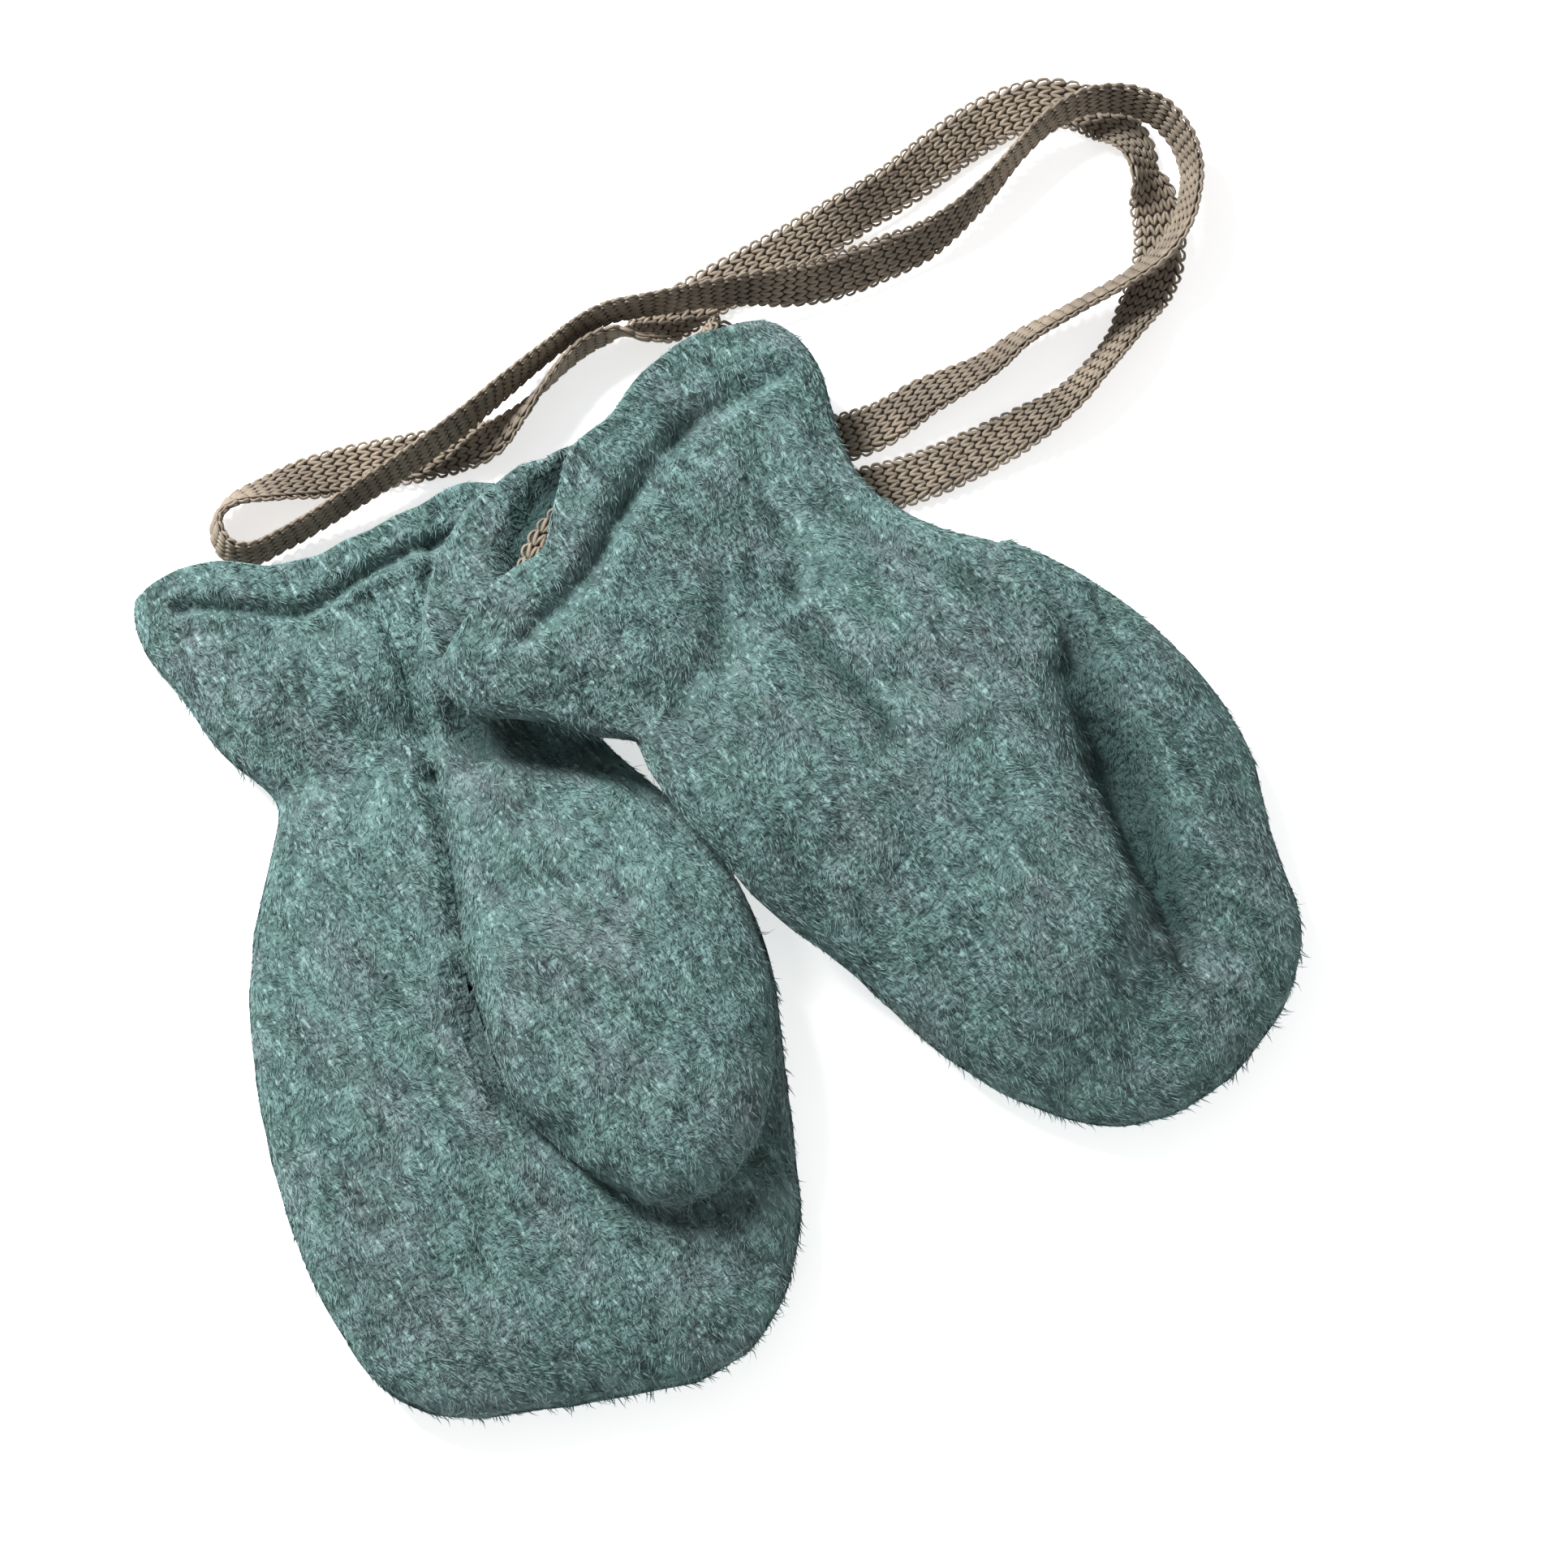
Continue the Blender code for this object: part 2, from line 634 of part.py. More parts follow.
def base_height(mitten, along, across):
    """Height of the mitten's lower face off the floor, away from its rounded edges."""
    low_f = look_up(mitten.levels, along, 3)
    low_t = look_up(mitten.levels, along, 4)
    hinge = look_up(mitten.levels, along, 5)
    middle = hinge + HINGE_SHIFT
    tilt = mix(low_f, low_t, smooth(middle - HINGE_REACH, middle + HINGE_REACH, across))
    return tilt + mound(mitten, along, across)


def thickness(mitten, along, across):
    left = finger_edge(mitten, along)
    right = side_edge(mitten, along)
    share = smooth(left, right, across)
    return mix(look_up(mitten.levels, along, 1), look_up(mitten.levels, along, 2), share)


def wall_at(along):
    """The hem is turned in, so the wall is thicker there."""
    return WALL + HEM_EXTRA * (1.0 - smooth(HEM_DEPTH - 1.0, HEM_DEPTH + HEM_EASE + 1.0, along))


def trough_depth(trough, along, across):
    start = Vector((trough.along_a, trough.across_a))
    run = Vector((trough.along_b, trough.across_b)) - start
    point = Vector((along, across))
    share = min(max((point - start).dot(run) / run.length_squared, 0.0), 1.0)
    away = (point - start - run * share).length
    return trough.depth * math.exp(-((away / trough.width) ** 2))


def crease(mitten, face, along, across, distance):
    """How deep the face is drawn in: hem stitching, puckers at the wrist, and the mitten's own folds."""
    groove = HEM_GROOVE * math.exp(-(((along - HEM_DEPTH) / HEM_GROOVE_WIDTH) ** 2))
    draw = WRIST_DRAW * math.exp(-(((along - WRIST) / WRIST_DRAW_WIDTH) ** 2))
    wave = 0.5 - 0.5 * math.cos(2.0 * math.pi * (across / PUCKER_PITCH + PUCKER_SLANT * along))
    pucker = PUCKER_DEPTH * wave * math.exp(-(((along - WRIST) / PUCKER_REACH) ** 2))
    folds = sum(trough_depth(row, along, across) for row in mitten.troughs if row.face == face)
    on_floor = face < 0 and mitten.palm > 0
    share = FLOOR_CREASE if on_floor else 1.0
    return (share * (groove + draw + pucker) + folds) * smooth(0.0, CREASE_FADE, distance)


def face_rise(mitten, face, along, across):
    """How far the middle of a face stands off the side seams' height, and where rounding ends."""
    top = thickness(mitten, along, across)
    seam = SEAM_SHARE * top
    if face > 0:
        return top - seam - SEAM_GAP / 2.0, TOP_ROUND
    return seam - SEAM_GAP / 2.0, UNDER_ROUND


def face_height(form, face, along, across):
    """Height of the outer surface of the upper face (1) or the lower face (-1)."""
    mitten = form.mitten
    distance, _ = nearest(form.hand, Vector((along, across)))
    seam = base_height(mitten, along, across) + SEAM_SHARE * thickness(mitten, along, across)
    rise, reach = face_rise(mitten, face, along, across)
    drawn = crease(mitten, face, along, across, distance)
    return seam + face * (SEAM_GAP / 2.0 + rise * dome(distance, reach) - drawn)


def rim_shift(mitten, face, along, across):
    """The rim's own line, fading out below the cuff."""
    column = 1 if face > 0 else 2
    fade = max(1.0 - max(along, 0.0) / RIM_FADE, 0.0)
    return look_up(mitten.rims, across, column) * fade * fade


def across_shares(width, edge_segments, middle_segments, reach):
    """Shares of a row's width, closer together where the edges are round."""
    edge = min(reach / width, WIDEST_EDGE)
    near = [edge * (1.0 - math.cos(math.pi / 2.0 * step / edge_segments)) for step in range(edge_segments)]
    middle = [edge + (1.0 - 2.0 * edge) * step / middle_segments for step in range(middle_segments + 1)]
    return near + middle + [1.0 - share for share in reversed(near)]


def row_points(row, edge_segments, middle_segments, reach):
    start = Vector((row.along_f, row.f))
    end = Vector((row.along_t, row.t))
    shares = across_shares(row.t - row.f, edge_segments, middle_segments, reach)
    return [start.lerp(end, share) for share in shares]


def tip_points(line, row_count, edge_segments, middle_segments, width, reach):
    """The last row, along the outline's own curve round the tip."""
    start = (row_count - 1) * OUTLINE_STEPS
    points = []
    for share in across_shares(width, edge_segments, middle_segments, reach):
        place = share * OUTLINE_STEPS
        step = min(int(place), OUTLINE_STEPS - 1)
        points.append(line[start + step].lerp(line[start + step + 1], place - step))
    return points


def shell(name, outer, inner, flip):
    """A closed sheet of cloth from its outer and inner grids of points."""
    mesh = bmesh.new()
    layers = [[[mesh.verts.new(point * MM) for point in row] for row in grid] for grid in (outer, inner)]
    last_row = len(outer) - 1
    last_column = len(outer[0]) - 1
    for layer, turned in zip(layers, (False, True)):
        for i in range(last_row):
            for j in range(last_column):
                corners = [layer[i][j], layer[i + 1][j], layer[i + 1][j + 1], layer[i][j + 1]]
                mesh.faces.new(corners[::-1] if turned else corners)
    around = [(i, 0) for i in range(last_row)]
    around += [(last_row, j) for j in range(last_column)]
    around += [(i, last_column) for i in range(last_row, 0, -1)]
    around += [(0, j) for j in range(last_column, 0, -1)]
    edge_loops = [[layer[i][j] for i, j in around] for layer in layers]
    for here in range(len(around)):
        there = (here + 1) % len(around)
        outside, inside = edge_loops
        mesh.faces.new([outside[there], outside[here], inside[here], inside[there]])
    if flip:
        bmesh.ops.reverse_faces(mesh, faces=mesh.faces[:])
    return mesh_object(name, mesh)


def mesh_object(name, mesh):
    data = bpy.data.meshes.new(name)
    mesh.to_mesh(data)
    mesh.free()
    data.shade_smooth()
    data.set_sharp_from_angle(angle=math.radians(50.0))
    made = bpy.data.objects.new(name, data)
    bpy.context.scene.collection.objects.link(made)
    return made


def inward_of(form, point):
    """Distance to the hand's outline and the direction inward, which is straight across in the cuff."""
    distance, inward = nearest(form.hand, point)
    inward.x *= smooth(*STRAIGHT_CUFF, point.x)
    return distance, inward.normalized()


def inner_floor(distance):
    """Least height of a face's inner surface over its side seams."""
    return INNER_RISE * min(distance, INNER_REACH)


def hand_face(form, face, name):
    """The whole upper or lower face of the hand and cuff, from side seam to side seam."""
    mitten = form.mitten
    plan = [row_points(row, EDGE_SEGMENTS, MIDDLE_SEGMENTS, TOP_ROUND) for row in mitten.rows]
    last = mitten.rows[-1]
    plan[-1] = tip_points(
        form.hand, len(plan), EDGE_SEGMENTS, MIDDLE_SEGMENTS, last.t - last.f, TOP_ROUND
    )
    outer, inner = [], []
    for row in plan:
        outer_row, inner_row = [], []
        for point in row:
            distance, inward = inward_of(form, point)
            rise, reach = face_rise(mitten, face, point.x, point.y)
            level, upright = lean_of(distance, (reach, rise))
            wall = wall_at(point.x)
            height = face_height(form, face, point.x, point.y)
            shift = rim_shift(mitten, face, point.x, point.y)
            inset = point + inward * (wall * level)
            depth = min(wall * upright, max(rise * dome(distance, reach) - inner_floor(distance), 0.0))
            outer_row.append(Vector((point.x + shift, point.y, height)))
            inner_row.append(Vector((inset.x + shift, inset.y, height - face * depth)))
        outer.append(outer_row)
        inner.append(inner_row)
    return shell(name, outer, inner, face < 0)


def palm_under(form, point):
    """Height of the palm that the thumb lies on, which the free thumb doesn't follow over its edge."""
    mitten = form.mitten
    margin = THUMB_MARGIN * smooth(*THUMB_LEAVES, point.x)
    across = min(point.y, side_edge(mitten, point.x) - margin)
    return face_height(form, mitten.palm, point.x, across)


def thumb_plan(form):
    """Rows of places across the thumb."""
    rows = form.thumb_rows
    plan = [row_points(row, THUMB_EDGE_SEGMENTS, THUMB_MIDDLE_SEGMENTS, THUMB_ROUND) for row in rows]
    width = rows[-1].t - rows[-1].f
    plan[-1] = tip_points(
        form.thumb, len(plan), THUMB_EDGE_SEGMENTS, THUMB_MIDDLE_SEGMENTS, width, THUMB_ROUND
    )
    return list(zip(rows, plan))


def thumb_front(form, name):
    """The thumb's front from the hem to its tip: sewn flat to the palm, then free and rounded."""
    mitten = form.mitten
    outer, inner = [], []
    for index, (row, places) in enumerate(thumb_plan(form)):
        outer_row, inner_row = [], []
        free = smooth(mitten.root - SEWN_ROWS, mitten.root - FREE_ROWS, index)
        for point in places:
            wall = wall_at(point.x)
            palm = palm_under(form, point)
            edge, _ = nearest(form.thumb, point)
            lift = row.seam + row.crest * dome(edge, THUMB_ROUND)
            distance, inward = nearest(form.free_thumb, point)
            level, upright = lean_of(distance, (THUMB_ROUND, THUMB_RISE))
            inset = inward * (wall * level * free)
            depth = wall * upright * free
            distance, inward = inward_of(form, point)
            rise, reach = face_rise(mitten, mitten.palm, point.x, point.y)
            level, upright = lean_of(distance, (reach, rise), (THUMB_ROUND, row.crest))
            inset += inward * (wall * level * (1.0 - free))
            rise_here = rise * dome(distance, reach) + row.crest * dome(distance, THUMB_ROUND)
            depth += min(wall * upright, max(rise_here - inner_floor(distance), 0.0)) * (1.0 - free)
            shift = rim_shift(mitten, mitten.palm, point.x, point.y)
            outer_row.append(Vector((point.x + shift, point.y, palm + mitten.palm * lift)))
            within = mix(palm, palm_under(form, point + inset), free)
            within += mitten.palm * (lift - depth)
            inner_row.append(Vector((point.x + inset.x + shift, point.y + inset.y, within)))
        outer.append(outer_row)
        inner.append(inner_row)
    return shell(name, outer, inner, mitten.palm < 0)


def thumb_rear(form, name):
    """The thumb's rear, from its root to its tip, lying on the palm."""
    mitten = form.mitten
    outer, inner = [], []
    for index, (row, places) in enumerate(thumb_plan(form)[mitten.root :]):
        outer_row, inner_row = [], []
        top = row.seam - SEAM_GAP
        for place in places:
            point = place + Vector((REAR_START, 0.0)) if index == 0 else place
            distance, inward = nearest(form.free_thumb, point)
            drop = (top - THUMB_REST * row.seam) * dome(distance, REAR_ROUND)
            inset = point + inward * (REAR_RIM * max(1.0 - distance / THUMB_ROUND, 0.0))
            outer_row.append(Vector((point.x, point.y, palm_under(form, point) + mitten.palm * (top - drop))))
            inner_row.append(Vector((inset.x, inset.y, palm_under(form, inset) + mitten.palm * top)))
        outer.append(outer_row)
        inner.append(inner_row)
    return shell(name, outer, inner, mitten.palm > 0)


def root_cutter(form):
    """A block with the outline of the thumb front's sewn part, which the palm leaves free."""
    root_row = form.mitten.root
    sewn = form.thumb[: root_row * OUTLINE_STEPS : 2]
    root = form.thumb_rows[root_row]
    plan = [(CUTTER_START, sewn[0].y - SEAM_GAP)]
    plan += [(point.x, point.y - SEAM_GAP) for point in sewn]
    plan += [(root.along_f + SEAM_GAP, root.f - SEAM_GAP)]
    plan += [(root.along_t + SEAM_GAP, root.t)]
    plan += [(root.along_t - CUTTER_SLANT, CUTTER_SIDE), (CUTTER_START, CUTTER_SIDE)]
    mesh = bmesh.new()
    low = [mesh.verts.new(Vector((along, across, CUTTER_LOW)) * MM) for along, across in plan]
    face = mesh.faces.new(low)
    raised = bmesh.ops.extrude_face_region(mesh, geom=[face])["geom"]
    moved = [item for item in raised if isinstance(item, bmesh.types.BMVert)]
    bmesh.ops.translate(mesh, verts=moved, vec=Vector((0.0, 0.0, CUTTER_HEIGHT)) * MM)
    bmesh.ops.triangulate(mesh, faces=mesh.faces[:])
    bmesh.ops.recalc_face_normals(mesh, faces=mesh.faces[:])
    cutter = mesh_object(form.mitten.name + "_root_cutter", mesh)
    cutter.hide_render = True
    cutter.display_type = "WIRE"
    return cutter


def palm_piece(form):
    palm = hand_face(form, form.mitten.palm, form.mitten.name + "_palm")
    cutter = root_cutter(form)
    cut = palm.modifiers.new("thumb_root", "BOOLEAN")
    cut.operation = "DIFFERENCE"
    cut.object = cutter
    return [palm, cutter]


def tape_frames():
    """Places along the tape with the direction of its width at each."""
    points = smooth_line([Vector((stop.x, stop.y, stop.z)) for stop in TAPE], TAPE_FINE)
    widths = []
    for index, stop in enumerate(TAPE):
        place = index * TAPE_FINE
        ahead = points[min(place + 2, len(points) - 1)] - points[max(place - 2, 0)]
        level = Vector((-ahead.y, ahead.x, 0.0)).normalized() * stop.turn
        lean = math.radians(stop.lean)
        widths.append(level * math.cos(lean) + Vector((0.0, 0.0, math.sin(lean))))
    for index, stop in enumerate(TAPE):
        if stop.turn == 0:
            level = (widths[index - 1] + widths[index + 1]).normalized()
            lean = math.radians(stop.lean)
            widths[index] = level * math.cos(lean) + Vector((0.0, 0.0, math.sin(lean)))
    return points, smooth_line(widths, TAPE_FINE)


def spaced(points, wide):
    """The tape's frames again, closer together where it bends."""
    reach = [0.0]
    for index in range(1, len(points)):
        run = points[index] - points[index - 1]
        before = points[index - 1] - points[max(index - 2, 0)]
        bend = math.degrees(run.angle(before)) if before.length > 0.0 else 0.0
        reach.append(reach[-1] + run.length / TAPE_STEP + bend / TAPE_BEND)
    count = round(reach[-1])
    frames = []
    place = 0
    for index in range(count + 1):
        goal = reach[-1] * index / count
        while place < len(reach) - 2 and reach[place + 1] < goal:
            place += 1
        share = (goal - reach[place]) / (reach[place + 1] - reach[place])
        frames.append((points[place].lerp(points[place + 1], share), wide[place].lerp(wide[place + 1], share)))
    return frames


def tape_ring(here, width, along):
    """The tape's flat rounded outline about one place on its route."""
    along = along.normalized()
    width = (width - along * width.dot(along)).normalized()
    thick = along.cross(width)
    half = TAPE_WIDTH / 2.0
    edge = TAPE_THICKNESS / 2.0
    outline = [(-half, 0.0), (edge - half, -edge), (half - edge, -edge), (half, 0.0)]
    outline += [(half - edge, edge), (edge - half, edge)]
    return [here + width * side + thick * up for side, up in outline]


def tape(knit):
    frames = spaced(*tape_frames())
    mesh = bmesh.new()
    rings = []
    for index, (here, width) in enumerate(frames):
        before = frames[max(index - 1, 0)][0]
        after = frames[min(index + 1, len(frames) - 1)][0]
        rings.append([mesh.verts.new(point * MM) for point in tape_ring(here, width, after - before)])
    for low, high in zip(rings, rings[1:]):
        for side in range(len(low)):
            after = (side + 1) % len(low)
            mesh.faces.new([low[side], low[after], high[after], high[side]])
    mesh.faces.new(rings[0][::-1])
    mesh.faces.new(rings[-1])
    bmesh.ops.recalc_face_normals(mesh, faces=mesh.faces[:])
    made = mesh_object("tape", mesh)
    made.data.materials.append(knit)
    return made


def cloth_material(name, colour, roughness):
    made = bpy.data.materials.new(name)
    made.use_nodes = True
    surface = made.node_tree.nodes["Principled BSDF"]
    surface.inputs["Base Color"].default_value = colour
    surface.inputs["Roughness"].default_value = roughness
    surface.inputs["Metallic"].default_value = 0.0
    return made


def build_mitten(mitten, wool):
    """The four sewn pieces of one mitten, on an empty at the centre of its rim."""
    form = Form(mitten)
    pieces = [hand_face(form, -mitten.palm, mitten.name + "_back")]
    pieces += palm_piece(form)
    pieces.append(thumb_front(form, mitten.name + "_thumb_front"))
    pieces.append(thumb_rear(form, mitten.name + "_thumb_rear"))
    place = bpy.data.objects.new(mitten.name + "_mitten", None)
    bpy.context.scene.collection.objects.link(place)
    place.location = Vector((mitten.x, mitten.y, 0.0)) * MM
    place.rotation_euler.z = math.radians(mitten.heading)
    for piece in pieces:
        piece.data.materials.append(wool)
        piece.parent = place
    return place


def centre_pair(pair, places):
    """Move the pair so that the middle of its two mittens lies over the origin."""
    bpy.context.view_layer.update()
    corners = []
    for place in places:
        for piece in place.children:
            if not piece.hide_render:
                corners += [piece.matrix_world @ vertex.co for vertex in piece.data.vertices]
    for axis in range(2):
        values = [corner[axis] for corner in corners]
        pair.location[axis] = -(min(values) + max(values)) / 2.0


def main():
    clear_scene()
    wool = cloth_material("sea_green_fleece", (0.16, 0.29, 0.28, 1.0), 0.95)
    knit = cloth_material("taupe_knit", (0.39, 0.33, 0.26, 1.0), 0.9)
    pair = bpy.data.objects.new("pair", None)
    bpy.context.scene.collection.objects.link(pair)
    places = [build_mitten(mitten, wool) for mitten in (LEFT, RIGHT)]
    for item in places + [tape(knit)]:
        item.parent = pair
    centre_pair(pair, places)


main()
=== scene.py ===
"""Two baby mittens of brushed wool on a knitted tape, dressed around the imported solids.

Each cloth piece is a smooth thin shell on its solid's own form, with soft creases and a combed nap of short
fibres. The tape is knitted from one yarn, stitch by stitch, along the route that its solid follows. Tables and
fields are in millimetres and degrees where they say nothing else, and meshes are in metres.
"""

import json
import logging
import math
from dataclasses import dataclass, field
from enum import Enum
from typing import NamedTuple, Sequence

import bmesh
import bpy
import numpy as np
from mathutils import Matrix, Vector, noise
from mathutils.bvhtree import BVHTree

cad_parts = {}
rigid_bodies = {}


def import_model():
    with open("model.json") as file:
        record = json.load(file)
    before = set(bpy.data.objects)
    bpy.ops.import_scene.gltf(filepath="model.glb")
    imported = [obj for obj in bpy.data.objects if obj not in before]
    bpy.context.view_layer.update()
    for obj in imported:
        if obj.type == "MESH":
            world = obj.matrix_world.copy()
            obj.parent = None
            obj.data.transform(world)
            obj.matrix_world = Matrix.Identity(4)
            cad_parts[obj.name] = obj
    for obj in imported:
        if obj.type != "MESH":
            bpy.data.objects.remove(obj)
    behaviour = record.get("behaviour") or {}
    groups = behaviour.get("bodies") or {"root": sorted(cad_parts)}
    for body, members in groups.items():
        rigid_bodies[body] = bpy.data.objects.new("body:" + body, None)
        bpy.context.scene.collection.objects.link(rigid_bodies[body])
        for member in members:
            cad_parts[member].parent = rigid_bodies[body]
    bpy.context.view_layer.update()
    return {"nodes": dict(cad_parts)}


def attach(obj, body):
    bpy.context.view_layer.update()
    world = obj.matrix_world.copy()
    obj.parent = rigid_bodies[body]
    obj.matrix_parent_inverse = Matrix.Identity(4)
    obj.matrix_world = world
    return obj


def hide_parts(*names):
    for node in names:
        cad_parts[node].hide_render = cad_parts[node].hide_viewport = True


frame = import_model()

MM = 0.001
PAIR_MIDDLE = Vector((11.44, 14.15, 0.0))  # where the tables' own zero lies in the part's frame
RIM_AWAY, RIM_WIDTH = 1.9, 0.8  # where a fold's raised rim is and how wide, in the fold's own half widths

Tree = bpy.types.NodeTree
Socket = bpy.types.NodeSocket
Thing = bpy.types.Object
Maker = np.random.Generator

log = logging.getLogger("mittens")


class Weight(Enum):
    """How long and how thick a nap's fibres are."""

    COMBED = "combed"
    STRAY = "stray"


class Stop(NamedTuple):
    """A place that the tape runs through: x, y, z, its lean in degrees, and its width's side (0 at a fold)."""

    x: float
    y: float
    z: float
    lean: float
    turn: int


class Cut(NamedTuple):
    """A cloth piece's flat cut: width, length, area share of that rectangle, and what it lies on."""

    width: float
    length: float
    share: float
    rests_on: tuple


class Tuck(NamedTuple):
    """Where a cuff's upper lip is drawn back, how far round that place, and by how much."""

    along: float
    across: float
    reach: float
    back: float


class Root(NamedTuple):
    """How a palm's side is stretched back on to the thumb's root: from where, over what, how far and how high."""

    start: float
    fade: float
    across: float
    side: float
    low: float
    high: float
    pull: float
    inward: float
    lift: float


class Lamp(NamedTuple):
    """A soft square light: its name, its place, its side, and its power in watts."""

    name: str
    place: tuple
    size: float
    power: float


@dataclass(frozen=True)
class Fold:
    """A soft trough (depth above 0) or ridge (below 0) along a line of a mitten's own along and across places."""

    places: tuple
    depth: float
    left: float
    right: float
    rim: float = 0.0

    def at(self, here: np.ndarray) -> np.ndarray:
        """How deep the fold is at each place.

        Args:
            here: Along and across, one place a row.

        Returns:
            The depths.
        """
        nearest = np.full(len(here), np.inf)
        turned = np.zeros(len(here))
        for first, last in zip(self.places, self.places[1:]):
            run = np.array(last) - np.array(first)
            offset = here - np.array(first)
            share = np.clip(offset @ run / (run @ run), 0.0, 1.0)
            away = np.linalg.norm(offset - share[:, None] * run, axis=1)
            closer = away < nearest
            nearest = np.where(closer, away, nearest)
            turned = np.where(closer, run[0] * offset[:, 1] - run[1] * offset[:, 0], turned)
        ratio = nearest / np.where(turned > 0.0, self.left, self.right)
        return self.depth * np.exp(-(ratio**2)) - self.rim * np.exp(-(((ratio - RIM_AWAY) / RIM_WIDTH) ** 2))


# Each mouth sinks its cuff's lower lip a little, and the nap there gets painted shade for the shade inside the cuff.
LEFT_MOUTH = Fold(((-2.0, 20.0), (-1.0, -20.0)), 0.8, 12.0, 1.5)
RIGHT_MOUTH = Fold(((-5.5, 5.0), (-6.5, -3.0), (-6.5, -8.0), (-4.5, -13.0), (-1.0, -17.0)), 2.4, 12.0, 2.2)
RIGHT_TUCK = Tuck(0.5, -13.5, 5.5, 2.2)
RIGHT_ROOT = Root(67.0, 32.0, 20.0, 10.0, 7.6, 14.0, 13.0, 3.3, 2.0)

